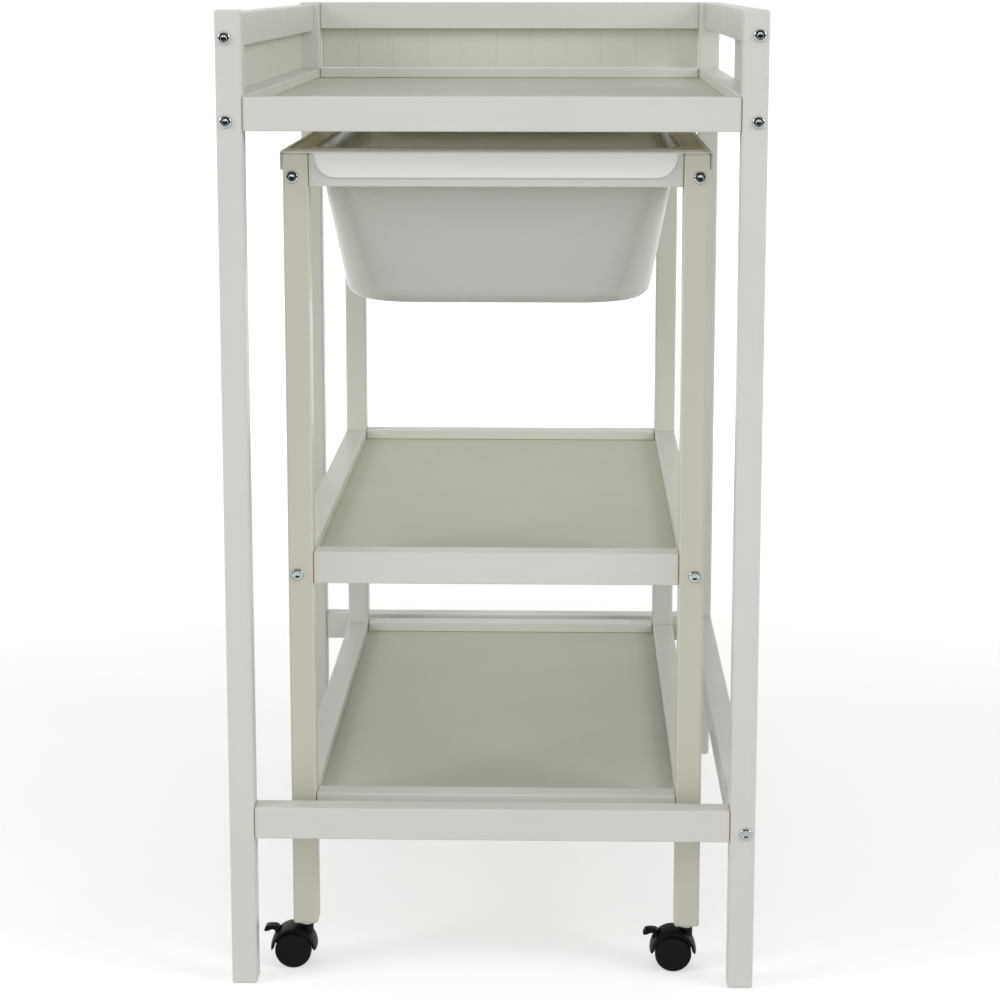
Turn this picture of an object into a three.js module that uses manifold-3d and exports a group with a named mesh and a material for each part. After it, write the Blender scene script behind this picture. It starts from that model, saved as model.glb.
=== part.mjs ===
// Changing table with a bath trolley that rolls out from under it to the left.
// Millimetres, +Z up, origin on the floor at the middle of the table's footprint.
// The end that the trolley's brake levers point away from is right (+X), and the near end is -Y.
import * as THREE from 'three';
import Module from 'manifold-3d';
import { mergeVertices } from 'three/addons/utils/BufferGeometryUtils.js';

const wasm = await Module();
wasm.setup();

// Driving dimensions of the table
const tableWidth = 540;
const tableLength = 830;
const tableHeight = 1000;
const guardHeight = 84;
const stretcherTop = 191.5;
const guardLeftDrop = 3;

// Timber sections, shared by the table and the trolley
const postSide = 26;
const postEdgeRadius = 2;
const postEndRadius = 2.6;
const railHeight = 33.5;
const railThickness = 25.5;
const railEdgeRadius = 1.2;
const guardRailThickness = 18;
const jointGap = 0.3;

// Boards and panels
const boardThickness = 6;
const boardRecess = 12;
const boardGrooveDepth = 5;
const boardClearance = 0.3;
const panelThickness = 3;
const panelGroovePitch = 45;
const panelGrooveWidth = 1.6;
const panelGrooveDepth = 0.6;
const rearGrooveOffset = -17;
const sideGrooveOffset = -14;
const guardSlotLength = 337.4;

// Bolts run along the table through a post into the end of a side rail
const boltHoleRadius = 3.5;
const boltInset = 9.5;
const boltHeight = 9.3;
const boltBoreDepth = 45;

// Driving dimensions of the trolley, which stands inside the table and under its tray
const trolleySideRoom = 56.5;
const trolleyEndRoom = 47;
const trolleyHeadroom = 24;
const trolleyParkOffset = 3;
const castorHeight = 48;
const middleShelfTop = 450.5;
const bottomShelfTop = 192;
const trayRailTop = tableHeight - guardHeight;
const trolleyWidth = tableWidth - 2 * trolleySideRoom;
const trolleyLength = tableLength - 2 * trolleyEndRoom;
const trolleyTop = trayRailTop - railHeight - trolleyHeadroom;

// Bath: a moulded tub that hangs by its rim in the trolley's top frame
const bathWall = 2.5;
const bathSeatGap = 0.3;
const bathOverhang = 3.2;
const bathSkirtWall = 2.2;
const bathRimInset = 31.5;
const bathDepth = 159.3;
const bathTaper = THREE.MathUtils.degToRad(9.9);
const bathOuterCorner = 10;
const bathMouthCorner = 28;
const bathFloorCorner = 54;
const bathFloorRadius = 19;
const bathRimRoll = 3.6;
const bathMouthRoll = 2.4;
const bathBeadRadius = 2;
const bathBeadHeight = 1.1;
const bathOuterBeadInset = 7.5;
const bathApronDepth = 27;
const bathApronInset = 32.5;
const bathApronCorner = 21;
const bathNotchFillet = 2.8;
const bathLipDepth = 2.7;
const bathSideDepth = 20.5;
const bathNotchLength = 10;
const bathMouthWidth = trolleyWidth - 2 * bathRimInset;
const bathMouthLength = trolleyLength - 2 * bathRimInset;
const bathApronWidth = trolleyWidth - 2 * bathApronInset;

// Castors: twin wheels under a hood, on a stem that turns in a socket
const wheelRadius = 19.2;
const wheelEdgeRadius = 2.4;
const wheelSetWidth = 34;
const axleRadius = 2.5;
const castorTrail = 13.7;
const runningGap = 0.3;
const webThickness = 6.4;
const wheelSideGap = 0.6;
const hoodWidth = 33;
const hoodCrownRadius = 24.6;
const hoodEdgeRadius = 22.2;
const hoodWheelGap = 1;
const hoodTipHeight = 0.4;
const hoodTipRise = 3;
const axleBossRadius = 7;
const stemRadius = 3.5;
const stemLength = 40;
const stemSeat = 12;
const stemBossRadius = 6.9;
const stemBossRise = 16;
const socketWall = 1.2;
const socketLength = 30;
const socketCollarRadius = 6.4;
const socketCollarHeight = 3.4;
const leverWidth = 11.4;
const leverReach = 14;
const leverRise = 8.8;
const leverHubRadius = 2.3;
const leverEdgeRadius = 0.5;
const leverPivotRadius = 22.2;
const leverPivotAngle = THREE.MathUtils.degToRad(138);
const trunnionRadius = 1;
const trunnionLength = 17;
const leverSlotGap = 0.5;
const leverHeel = 2.7;

// How finely round forms are faceted
const cutOverrun = 5;
const edgeSteps = 2;
const holeSides = 12;
const stemSides = 16;
const wheelSides = 26;
const cornerSteps = 5;
const arcSteps = 5;
const fineArcSteps = 3;

const lacquer = (name, colour) => new THREE.MeshStandardMaterial({ name, color: colour, roughness: 0.4, metalness: 0 });
const whiteLacquer = lacquer('white_lacquer', 0xd5d6cf);
const creamLacquer = lacquer('cream_lacquer', 0xc6c5b6);
const boardFinish = lacquer('board_finish', 0xb2b3a8);
const bathPlastic = new THREE.MeshStandardMaterial({ name: 'bath_plastic', color: 0xd6d8d4, roughness: 0.3, metalness: 0 });
const blackNylon = new THREE.MeshStandardMaterial({ name: 'black_nylon', color: 0x191b18, roughness: 0.5, metalness: 0 });
const zincSteel = new THREE.MeshStandardMaterial({ name: 'zinc_steel', color: 0xb4b8ba, roughness: 0.3, metalness: 1 });
const clearPlastic = new THREE.MeshStandardMaterial({ name: 'clear_plastic', color: 0xc9cbc2, roughness: 0.4, metalness: 0 });

// Solids: a closed geometry becomes a solid that can be joined and cut, and comes back as a geometry

function solidOf(geometry) {
  const bare = geometry.index ? geometry.toNonIndexed() : geometry.clone();
  bare.deleteAttribute('normal');
  bare.deleteAttribute('uv');
  const merged = mergeVertices(bare, 1e-4);
  const mesh = new wasm.Mesh({
    numProp: 3,
    vertProperties: merged.attributes.position.array,
    triVerts: new Uint32Array(merged.index.array),
  });
  return new wasm.Manifold(mesh);
}

function geometryOf(solid) {
  const mesh = solid.getMesh();
  const geometry = new THREE.BufferGeometry();
  geometry.setAttribute('position', new THREE.BufferAttribute(mesh.vertProperties, mesh.numProp));
  geometry.setIndex(new THREE.BufferAttribute(mesh.triVerts, 1));
  const flat = geometry.toNonIndexed();
  flat.computeVertexNormals();
  return flat;
}

function joined(geometries) {
  return geometryOf(geometries.map(solidOf).reduce((whole, part) => whole.add(part)));
}

function cut(geometry, cutters) {
  return geometryOf(cutters.map(solidOf).reduce((rest, cutter) => rest.subtract(cutter), solidOf(geometry)));
}

function named(name, geometry, material) {
  const mesh = new THREE.Mesh(geometry, material);
  mesh.name = name;
  return mesh;
}

// Outlines and lofts

function arcPoints(x, y, radius, from, to, steps) {
  const points = [];
  for (let i = 0; i <= steps; i++) {
    const angle = from + ((to - from) * i) / steps;
    points.push(new THREE.Vector2(x + radius * Math.cos(angle), y + radius * Math.sin(angle)));
  }
  return points;
}

// A rectangle with round corners, centred on the origin, counterclockwise
function roundedRectangle(halfX, halfY, radius, steps) {
  const quarter = Math.PI / 2;
  return [
    ...arcPoints(halfX - radius, halfY - radius, radius, 0, quarter, steps),
    ...arcPoints(radius - halfX, halfY - radius, radius, quarter, 2 * quarter, steps),
    ...arcPoints(radius - halfX, radius - halfY, radius, 2 * quarter, 3 * quarter, steps),
    ...arcPoints(halfX - radius, radius - halfY, radius, 3 * quarter, 4 * quarter, steps),
  ];
}

// A closed skin through rings of equally many points, from the middle of the first to the middle of the last
function loft(rings) {
  const count = rings[0].outline.length;
  const positions = [];
  rings.forEach(({ outline, z }) => outline.forEach((p) => positions.push(p.x, p.y, z)));
  const first = rings.length * count;
  positions.push(0, 0, rings[0].z, 0, 0, rings[rings.length - 1].z);
  const faces = [];
  for (let i = 0; i < count; i++) {
    const next = (i + 1) % count;
    faces.push(first, next, i);
    for (let r = 0; r + 1 < rings.length; r++) {
      const low = r * count;
      const high = low + count;
      faces.push(low + i, low + next, high + next, low + i, high + next, high + i);
    }
    const top = (rings.length - 1) * count;
    faces.push(first + 1, top + i, top + next);
  }
  const geometry = new THREE.BufferGeometry();
  geometry.setAttribute('position', new THREE.Float32BufferAttribute(positions, 3));
  geometry.setIndex(faces);
  return geometry;
}

// A rod along Y, the way that bolts, axles and trunnions lie
function rodAlongY(radius, length, sides, x, y, z) {
  const rod = new THREE.CylinderGeometry(radius, radius, length, sides);
  rod.translate(x, y, z);
  return rod;
}

function rodAlongZ(radius, bottom, top, sides, x) {
  const rod = new THREE.CylinderGeometry(radius, radius, top - bottom, sides);
  rod.rotateX(Math.PI / 2);
  rod.translate(x, 0, (bottom + top) / 2);
  return rod;
}

// Timber

// A square post from bottom to top with soft edges and ends, drilled along Y for its bolts
// and upwards for a castor socket if it has one. Side is -1 for a left post and 1 for a right one.
function postGeometry(side, bottom, top, boltHeights, socketRadius) {
  const half = postSide / 2;
  const ring = (inset, z) => ({
    outline: roundedRectangle(half - inset, half - inset, postEdgeRadius, edgeSteps),
    z,
  });
  const rings = [];
  for (let i = 0; i <= edgeSteps; i++) {
    const angle = (i / edgeSteps) * (Math.PI / 2);
    rings.push(ring(postEndRadius * (1 - Math.sin(angle)), bottom + postEndRadius * (1 - Math.cos(angle))));
  }
  for (let i = edgeSteps; i >= 0; i--) {
    const angle = (i / edgeSteps) * (Math.PI / 2);
    rings.push(ring(postEndRadius * (1 - Math.sin(angle)), top - postEndRadius * (1 - Math.cos(angle))));
  }
  const boltX = side * (half - boltInset);
  const cutters = boltHeights.map((z) =>
    rodAlongY(boltHoleRadius, postSide + 2 * cutOverrun, holeSides, boltX, 0, z),
  );
  if (socketRadius > 0) {
    const holeTop = bottom + socketLength + jointGap;
    cutters.push(rodAlongZ(socketRadius + jointGap, bottom - cutOverrun, holeTop, stemSides, 0));
  }
  return cut(loft(rings), cutters);
}

// A rail's section: x inwards from its outer face and y upwards, with a groove for a board's edge if it holds one
function railSection(thickness, grooveBottom) {
  const r = railEdgeRadius;
  const quarter = Math.PI / 2;
  const grooveTop = grooveBottom + boardThickness + 2 * boardClearance;
  const grooveFloor = thickness - boardGrooveDepth;
  const groove = [
    new THREE.Vector2(thickness, grooveBottom),
    new THREE.Vector2(grooveFloor, grooveBottom),
    new THREE.Vector2(grooveFloor, grooveTop),
    new THREE.Vector2(thickness, grooveTop),
  ];
  return new THREE.Shape([
    ...arcPoints(thickness - r, r, r, -quarter, 0, edgeSteps),
    ...(grooveBottom > 0 ? groove : []),
    ...arcPoints(thickness - r, railHeight - r, r, 0, quarter, edgeSteps),
    ...arcPoints(r, railHeight - r, r, quarter, 2 * quarter, edgeSteps),
    ...arcPoints(r, r, r, 2 * quarter, 3 * quarter, edgeSteps),
  ]);
}

// A rail along X with its outer face on y = 0 and its middle at the origin, bored at both ends if it is bolted
function railGeometry(length, thickness, { grooved = false, bolted = false } = {}) {
  const grooveBottom = railHeight - boardRecess - boardThickness - boardClearance;
  const section = railSection(thickness, grooved ? grooveBottom : 0);
  const rail = new THREE.ExtrudeGeometry(section, { depth: length, bevelEnabled: false });
  const alongX = new THREE.Matrix4().makeBasis(
    new THREE.Vector3(0, 1, 0),
    new THREE.Vector3(0, 0, 1),
    new THREE.Vector3(1, 0, 0),
  );
  rail.applyMatrix4(alongX);
  rail.translate(-length / 2, 0, 0);
  if (!bolted) return rail;
  const bores = [-1, 1].map((end) => {
    const bore = rodAlongY(boltHoleRadius, 2 * boltBoreDepth, holeSides, 0, 0, 0);
    bore.rotateZ(Math.PI / 2);
    bore.translate((end * length) / 2, boltInset, boltHeight);
    return bore;
  });
  return cut(rail, bores);
}

// The four sides of a frame: the quarter turns from the near side, and what a piece there hangs from
const sides = {
  near: { turns: 0, x: 0, y: -1 },
  right: { turns: 1, x: 1, y: 0 },
  far: { turns: 2, x: 0, y: 1 },
  left: { turns: 3, x: -1, y: 0 },
};

// Places a piece made along X on one side of a frame, its outer face flush with the frame's
function onSide(mesh, side, width, length, height) {
  const { turns, x, y } = sides[side];
  mesh.rotation.z = (turns * Math.PI) / 2;
  mesh.position.set((x * width) / 2, (y * length) / 2, height);
  return mesh;
}

function railOnSide(name, side, frame, top, options, material) {
  const across = side === 'near' || side === 'far';
  const length = (across ? frame.width : frame.length) - 2 * postSide - 2 * jointGap;
  const thickness = options.thickness ?? railThickness;
  const rail = named(name, railGeometry(length, thickness, { ...options, bolted: !across }), material);
  return onSide(rail, side, frame.width, frame.length, top - railHeight);
}

function postsOf(prefix, frame, boltHeights, socketRadius, material) {
  const posts = [];
  for (const [end, endSign] of [['near', -1], ['far', 1]]) {
    for (const [hand, handSign] of [['left', -1], ['right', 1]]) {
      const heights = boltHeights[hand];
      const geometry = postGeometry(handSign, frame.bottom, frame.top, heights, socketRadius);
      const post = named(`${prefix}_${end}_${hand}`, geometry, material);
      const x = handSign * (frame.width - postSide) / 2;
      const y = endSign * (frame.length - postSide) / 2;
      post.position.set(x, y, 0);
      posts.push(post);
    }
  }
  return posts;
}

// A board whose edges lie in the rails' grooves, notched round the four posts
function boardGeometry(frame) {
  const halfX = frame.width / 2 - railThickness + boardGrooveDepth - boardClearance;
  const halfY = frame.length / 2 - railThickness + boardGrooveDepth - boardClearance;
  const notchX = frame.width / 2 - postSide - boardClearance;
  const notchY = frame.length / 2 - postSide - boardClearance;
  const quadrant = [[halfX, notchY], [notchX, notchY], [notchX, halfY]];
  const mirrored = (sx, sy) => quadrant.map(([x, y]) => new THREE.Vector2(sx * x, sy * y));
  const outline = new THREE.Shape([
    ...mirrored(1, 1),
    ...mirrored(-1, 1).reverse(),
    ...mirrored(-1, -1),
    ...mirrored(1, -1).reverse(),
  ]);
  return new THREE.ExtrudeGeometry(outline, { depth: boardThickness, bevelEnabled: false });
}

// A thin panel along X with its outer face on y = 0, scored with V grooves on its inner face
function panelGeometry(length, height, grooveOffset) {
  const half = length / 2;
  const firstGroove = Math.ceil((-half + panelGrooveWidth - grooveOffset) / panelGroovePitch);
  const lastGroove = Math.floor((half - panelGrooveWidth - grooveOffset) / panelGroovePitch);
  const points = [new THREE.Vector2(-half, 0), new THREE.Vector2(half, 0), new THREE.Vector2(half, panelThickness)];
  for (let i = lastGroove; i >= firstGroove; i--) {
    const x = grooveOffset + i * panelGroovePitch;
    points.push(new THREE.Vector2(x + panelGrooveWidth / 2, panelThickness));
    points.push(new THREE.Vector2(x, panelThickness - panelGrooveDepth));
    points.push(new THREE.Vector2(x - panelGrooveWidth / 2, panelThickness));
  }
  points.push(new THREE.Vector2(-half, panelThickness));
  return new THREE.ExtrudeGeometry(new THREE.Shape(points), { depth: height, bevelEnabled: false });
}

// Table

function buildTable() {
  const table = new THREE.Group();
  const frame = { width: tableWidth, length: tableLength, bottom: 0, top: tableHeight };
  const guardTops = { left: tableHeight - guardLeftDrop, far: tableHeight, right: tableHeight };
  const boltAt = (top) => top - railHeight + boltHeight;
  const boltHeights = {
    left: [boltAt(guardTops.left), boltAt(trayRailTop)],
    right: [boltAt(guardTops.right), boltAt(trayRailTop), boltAt(stretcherTop)],
  };
  table.add(...postsOf('table_post', frame, boltHeights, 0, whiteLacquer));

  for (const side of Object.keys(sides)) {
    table.add(railOnSide(`tray_rail_${side}`, side, frame, trayRailTop, { grooved: true }, whiteLacquer));
  }
  const board = named('tray_board', boardGeometry(frame), boardFinish);
  board.position.z = trayRailTop - boardRecess - boardThickness;
  table.add(board);

  const grooveOffsets = { left: sideGrooveOffset, far: -rearGrooveOffset, right: 0 };
  for (const side of ['left', 'far', 'right']) {
    const options = { thickness: guardRailThickness };
    table.add(railOnSide(`guard_rail_${side}`, side, frame, guardTops[side], options, whiteLacquer));
    const opening = (side === 'far' ? tableWidth : tableLength) - 2 * postSide - 2 * jointGap;
    const length = side === 'right' ? opening - guardSlotLength : opening;
    const height = guardTops[side] - railHeight - trayRailTop - 2 * jointGap;
    const panel = named(`guard_panel_${side}`, panelGeometry(length, height, grooveOffsets[side]), boardFinish);
    onSide(panel, side, tableWidth, tableLength, trayRailTop + jointGap);
    panel.position.y += side === 'right' ? (length - opening) / 2 : 0;
    table.add(panel);
  }

  for (const side of ['near', 'far', 'right']) {
    table.add(railOnSide(`stretcher_${side}`, side, frame, stretcherTop, {}, whiteLacquer));
  }
  return table;
}

// Bath

// A bead's arc pressed down to the bead's height
function flattened(point) {
  return new THREE.Vector2(point.x, (point.y * bathBeadHeight) / bathBeadRadius);
}

// The tub's outer wall as steps of inset from the mouth, height below the rim and corner radius,
// moved outwards by an offset: a leaning wall, then a quarter turn into the floor.
function tubSteps(offset) {
  const lean = new THREE.Vector2(Math.cos(bathTaper), -Math.sin(bathTaper));
  const turnDrop = bathFloorRadius * Math.sin(bathTaper);
  const wallDrop = bathDepth - bathFloorRadius + turnDrop;
  const steps = [];
  for (let i = 0; i <= fineArcSteps; i++) {
    const share = i / fineArcSteps;
    const drop = bathMouthRoll + share * (wallDrop - bathMouthRoll);
    steps.push({
      inset: drop * Math.tan(bathTaper) - offset * lean.x,
      drop: drop - offset * lean.y,
      corner: THREE.MathUtils.lerp(bathMouthCorner, bathFloorCorner, share) + offset,
    });
  }
  const centreInset = wallDrop * Math.tan(bathTaper) + bathFloorRadius * lean.x;
  const centreDrop = wallDrop + bathFloorRadius * lean.y;
  for (let i = 1; i <= arcSteps; i++) {
    const angle = bathTaper + ((Math.PI / 2 - bathTaper) * i) / arcSteps;
    steps.push({
      inset: centreInset - (bathFloorRadius + offset) * Math.cos(angle),
      drop: centreDrop + (bathFloorRadius + offset) * Math.sin(angle),
      corner: bathFloorCorner + offset,
    });
  }
  return steps;
}

// The rim and tub as one skin of rings: up outside the tub, out under the rim, down inside the skirt
// and up its face, over the rolled edge and both beads, and down inside the tub.
function bathShell(halfX, halfY) {
  const rimWidth = halfX - bathMouthWidth / 2;
  const rimLength = halfY - bathMouthLength / 2;
  const rimRing = ({ x, y }) => ({
    outline: roundedRectangle(
      halfX - x,
      halfY - (x * rimLength) / rimWidth,
      THREE.MathUtils.lerp(bathOuterCorner, bathMouthCorner, x / rimWidth),
      cornerSteps,
    ),
    z: y,
  });
  const tubRing = ({ inset, drop, corner }) => ({
    outline: roundedRectangle(bathMouthWidth / 2 - inset, bathMouthLength / 2 - inset, corner, cornerSteps),
    z: -drop,
  });
  const quarter = Math.PI / 2;
  const bead = (x) => arcPoints(x, 0, bathBeadRadius, 2 * quarter, 0, fineArcSteps).map(flattened);
  const rim = [
    new THREE.Vector2(rimWidth - bathWall, -bathWall),
    ...arcPoints(bathRimRoll, -bathRimRoll, bathRimRoll - bathSkirtWall, quarter, 2 * quarter, edgeSteps),
    new THREE.Vector2(bathSkirtWall, -bathApronDepth),
    new THREE.Vector2(0, -bathApronDepth),
    ...arcPoints(bathRimRoll, -bathRimRoll, bathRimRoll, 2 * quarter, quarter, fineArcSteps),
    ...bead(bathOuterBeadInset),
    ...bead(rimWidth - bathMouthRoll - bathBeadRadius),
    ...arcPoints(rimWidth - bathMouthRoll, -bathMouthRoll, bathMouthRoll, quarter, 0, fineArcSteps).slice(1, -1),
  ];
  const outside = tubSteps(bathWall).reverse().map(tubRing);
  const inside = tubSteps(0).map(tubRing);
  return loft([...outside, ...rim.map(rimRing), ...inside]);
}

// What is cut from the skirt beside an apron: from its round lower corner out to the bath's side
function notchGeometry(side, halfX, halfY, end) {
  const edge = bathApronWidth / 2;
  const quarter = Math.PI / 2;
  const fillet = bathNotchFillet;
  const outer = halfX + cutOverrun;
  const floor = -bathApronDepth - cutOverrun;
  const points = [
    new THREE.Vector2(outer, -bathLipDepth),
    ...arcPoints(edge + fillet, -bathLipDepth - fillet, fillet, quarter, 2 * quarter, fineArcSteps),
    ...arcPoints(edge - bathApronCorner, bathApronCorner - bathApronDepth, bathApronCorner, 0, -quarter, arcSteps),
    new THREE.Vector2(edge - bathApronCorner, floor),
    new THREE.Vector2(outer, floor),
  ];
  const outline = new THREE.Shape(points.map((p) => new THREE.Vector2(side * p.x, p.y)));
  const depth = bathNotchLength + cutOverrun;
  const notch = new THREE.ExtrudeGeometry(outline, { depth, bevelEnabled: false });
  notch.rotateX(Math.PI / 2);
  const nearFace = end < 0 ? bathNotchLength - halfY : halfY + cutOverrun;
  notch.translate(0, nearFace, 0);
  return notch;
}

function buildBath() {
  const halfX = trolleyWidth / 2 + bathOverhang;
  const halfY = trolleyLength / 2 + bathOverhang;
  const cutters = [];
  for (const side of [-1, 1]) {
    const trim = new THREE.BoxGeometry(2 * cutOverrun, trolleyLength, bathApronDepth);
    trim.translate(side * halfX, 0, -bathSideDepth - bathApronDepth / 2);
    cutters.push(trim);
    for (const end of [-1, 1]) cutters.push(notchGeometry(side, halfX, halfY, end));
  }
  const bath = named('bath_tub', cut(bathShell(halfX, halfY), cutters), bathPlastic);
  bath.position.z = trolleyTop + bathSeatGap + bathWall;
  return bath;
}

// Castors, each in a frame with its origin on the floor under the stem

const wheelWellRadius = wheelRadius + hoodWheelGap;
const socketRadius = stemRadius + runningGap + socketWall;
const bossTop = castorHeight - socketCollarHeight - runningGap;
const stemBottom = bossTop - stemSeat;

// The wheels' side view, with the axle at the origin and the stem to the right
function buildWheels() {
  const half = wheelSetWidth / 2;
  const innerFace = webThickness / 2 + wheelSideGap;
  const e = wheelEdgeRadius;
  const outerEdge = arcPoints(wheelRadius - e, half - e, e, 0, Math.PI / 2, edgeSteps);
  const innerEdge = arcPoints(wheelRadius - e, innerFace + e, e, -Math.PI / 2, 0, 1);
  const right = [new THREE.Vector2(axleRadius, innerFace), ...innerEdge, ...outerEdge, new THREE.Vector2(0, half)];
  const left = right.map((p) => new THREE.Vector2(p.x, -p.y)).reverse();
  return new THREE.LatheGeometry([...left, ...right], wheelSides);
}

function buildHousing() {
  const half = hoodWidth / 2;
  const crownHeight = hoodCrownRadius - hoodEdgeRadius;
  const crown = new THREE.Vector2();
  const crownPoints = [];
  for (let i = 0; i <= arcSteps; i++) {
    const across = -half + (hoodWidth * i) / arcSteps;
    const rise = Math.sqrt(1 - (across / half) ** 2);
    crownPoints.push(crown.clone().set(hoodEdgeRadius + crownHeight * rise, across));
  }
  const blank = new THREE.LatheGeometry(
    [new THREE.Vector2(0, -half), ...crownPoints, new THREE.Vector2(0, half)],
    wheelSides,
  );
  const boss = rodAlongZ(stemBossRadius, stemBossRise, bossTop - wheelRadius, stemSides, castorTrail);

  const wellDepth = half - webThickness / 2 + cutOverrun;
  const wells = [-1, 1].map((end) => {
    const middle = end * (webThickness / 2 + wellDepth / 2);
    return rodAlongY(wheelWellRadius, wellDepth, wheelSides, 0, middle, 0);
  });
  const reach = hoodCrownRadius + cutOverrun;
  const below = new THREE.ExtrudeGeometry(
    new THREE.Shape([
      new THREE.Vector2(-reach, hoodTipHeight),
      new THREE.Vector2(-hoodCrownRadius, hoodTipHeight),
      new THREE.Vector2(-wheelWellRadius, hoodTipHeight + hoodTipRise),
      new THREE.Vector2(wheelWellRadius, hoodTipHeight + hoodTipRise),
      new THREE.Vector2(hoodCrownRadius, hoodTipHeight),
      new THREE.Vector2(reach, hoodTipHeight),
      new THREE.Vector2(reach, -reach),
      new THREE.Vector2(-reach, -reach),
    ]),
    { depth: hoodWidth + 2 * cutOverrun, bevelEnabled: false },
  );
  below.rotateX(Math.PI / 2);
  below.translate(0, half + cutOverrun, 0);
  const hood = cut(joined([blank, boss]), [...wells, below]);
  const axleBoss = rodAlongY(axleBossRadius, webThickness, stemSides, 0, 0, 0);

  const pivotX = leverPivotRadius * Math.cos(leverPivotAngle);
  const pivotZ = leverPivotRadius * Math.sin(leverPivotAngle);
  const slotWidth = leverWidth + 2 * leverSlotGap;
  const slotRight = pivotX + leverHubRadius + leverSlotGap + hoodWheelGap;
  const slotBottom = pivotZ - leverHubRadius - leverSlotGap;
  const slotBox = new THREE.BoxGeometry(reach, slotWidth, reach);
  slotBox.translate(slotRight - reach / 2, 0, slotBottom + reach / 2);
  const keep = rodAlongY(wheelRadius, hoodWidth, wheelSides, 0, 0, 0);
  const slot = cut(slotBox, [keep]);
  const trunnionHole = rodAlongY(
    trunnionRadius + runningGap,
    trunnionLength + 2 * runningGap,
    holeSides,
    pivotX,
    0,
    pivotZ,
  );
  const axleHole = rodAlongY(axleRadius + runningGap, hoodWidth, stemSides, 0, 0, 0);
  const stemHole = rodAlongZ(
    stemRadius + runningGap,
    stemBottom - runningGap - wheelRadius,
    castorHeight + cutOverrun - wheelRadius,
    stemSides,
    castorTrail,
  );
  return cut(joined([hood, axleBoss]), [slot, trunnionHole, axleHole, stemHole]);
}

// The brake lever's side view from its pivot, as shares of its reach and its rise
const leverTopShares = [[-0.16, 0.43], [0, 0.84], [0.2, 0.96], [0.49, 1], [0.77, 0.89], [0.92, 0.66]];
const leverTipShares = [[1, 0.48], [0.95, 0.37]];
const leverUnderShares = [[0.71, 0.49], [0.5, 0.5], [0.34, 0.42], [0.23, 0.2]];

function buildLever() {
  const shape = (shares) => shares.map(([u, w]) => new THREE.Vector2(-u * leverReach, w * leverRise));
  const tongue = new THREE.SplineCurve([...shape(leverTopShares), ...shape(leverTipShares)]).getPoints(2 * arcSteps);
  const hubArc = arcPoints(0, 0, leverHubRadius, -Math.PI * 0.75, -Math.PI * 0.25, fineArcSteps);
  const heelAngle = -leverPivotAngle / 4;
  const heel = new THREE.Vector2(leverHeel * Math.cos(heelAngle), leverHeel * Math.sin(heelAngle));
  const root = new THREE.Vector2(leverHubRadius, leverHubRadius / 2);
  const outline = new THREE.Shape([...tongue, ...shape(leverUnderShares), ...hubArc, heel, root]);
  const e = leverEdgeRadius;
  const blade = new THREE.ExtrudeGeometry(outline, {
    depth: leverWidth - 2 * e,
    bevelThickness: e,
    bevelSize: e,
    bevelOffset: -e,
    bevelSegments: 1,
    curveSegments: arcSteps,
  });
  blade.rotateX(Math.PI / 2);
  blade.translate(0, leverWidth / 2 - e, 0);
  return joined([blade, rodAlongY(trunnionRadius, trunnionLength, holeSides, 0, 0, 0)]);
}

// The socket's section: a collar below the leg and a sleeve up inside it
function buildSocket() {
  const bottom = castorHeight - socketCollarHeight;
  const collarTop = castorHeight - jointGap;
  const top = castorHeight + socketLength;
  const inner = stemRadius + runningGap;
  const wall = [
    new THREE.Vector2(inner, bottom),
    new THREE.Vector2(socketCollarRadius, bottom),
    new THREE.Vector2(socketCollarRadius, collarTop),
    new THREE.Vector2(socketRadius, collarTop),
    new THREE.Vector2(socketRadius, top),
    new THREE.Vector2(inner, top),
    new THREE.Vector2(inner, bottom),
  ];
  const socket = new THREE.LatheGeometry(wall, stemSides);
  socket.rotateX(Math.PI / 2);
  return socket;
}

function buildCastor(place) {
  const castor = new THREE.Group();
  const prefix = `castor_${place}`;
  const wheelFrame = new THREE.Group();
  wheelFrame.position.set(-castorTrail, 0, wheelRadius);
  wheelFrame.add(named(`${prefix}_housing`, buildHousing(), blackNylon));
  wheelFrame.add(named(`${prefix}_wheels`, buildWheels(), blackNylon));
  const lever = named(`${prefix}_brake`, buildLever(), blackNylon);
  lever.position.set(
    leverPivotRadius * Math.cos(leverPivotAngle),
    0,
    leverPivotRadius * Math.sin(leverPivotAngle),
  );
  wheelFrame.add(lever);
  const stem = rodAlongZ(stemRadius, stemBottom, stemBottom + stemLength, stemSides, 0);
  castor.add(wheelFrame, named(`${prefix}_stem`, stem, zincSteel), named(`${prefix}_socket`, buildSocket(), clearPlastic));
  return castor;
}

// Trolley

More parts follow.
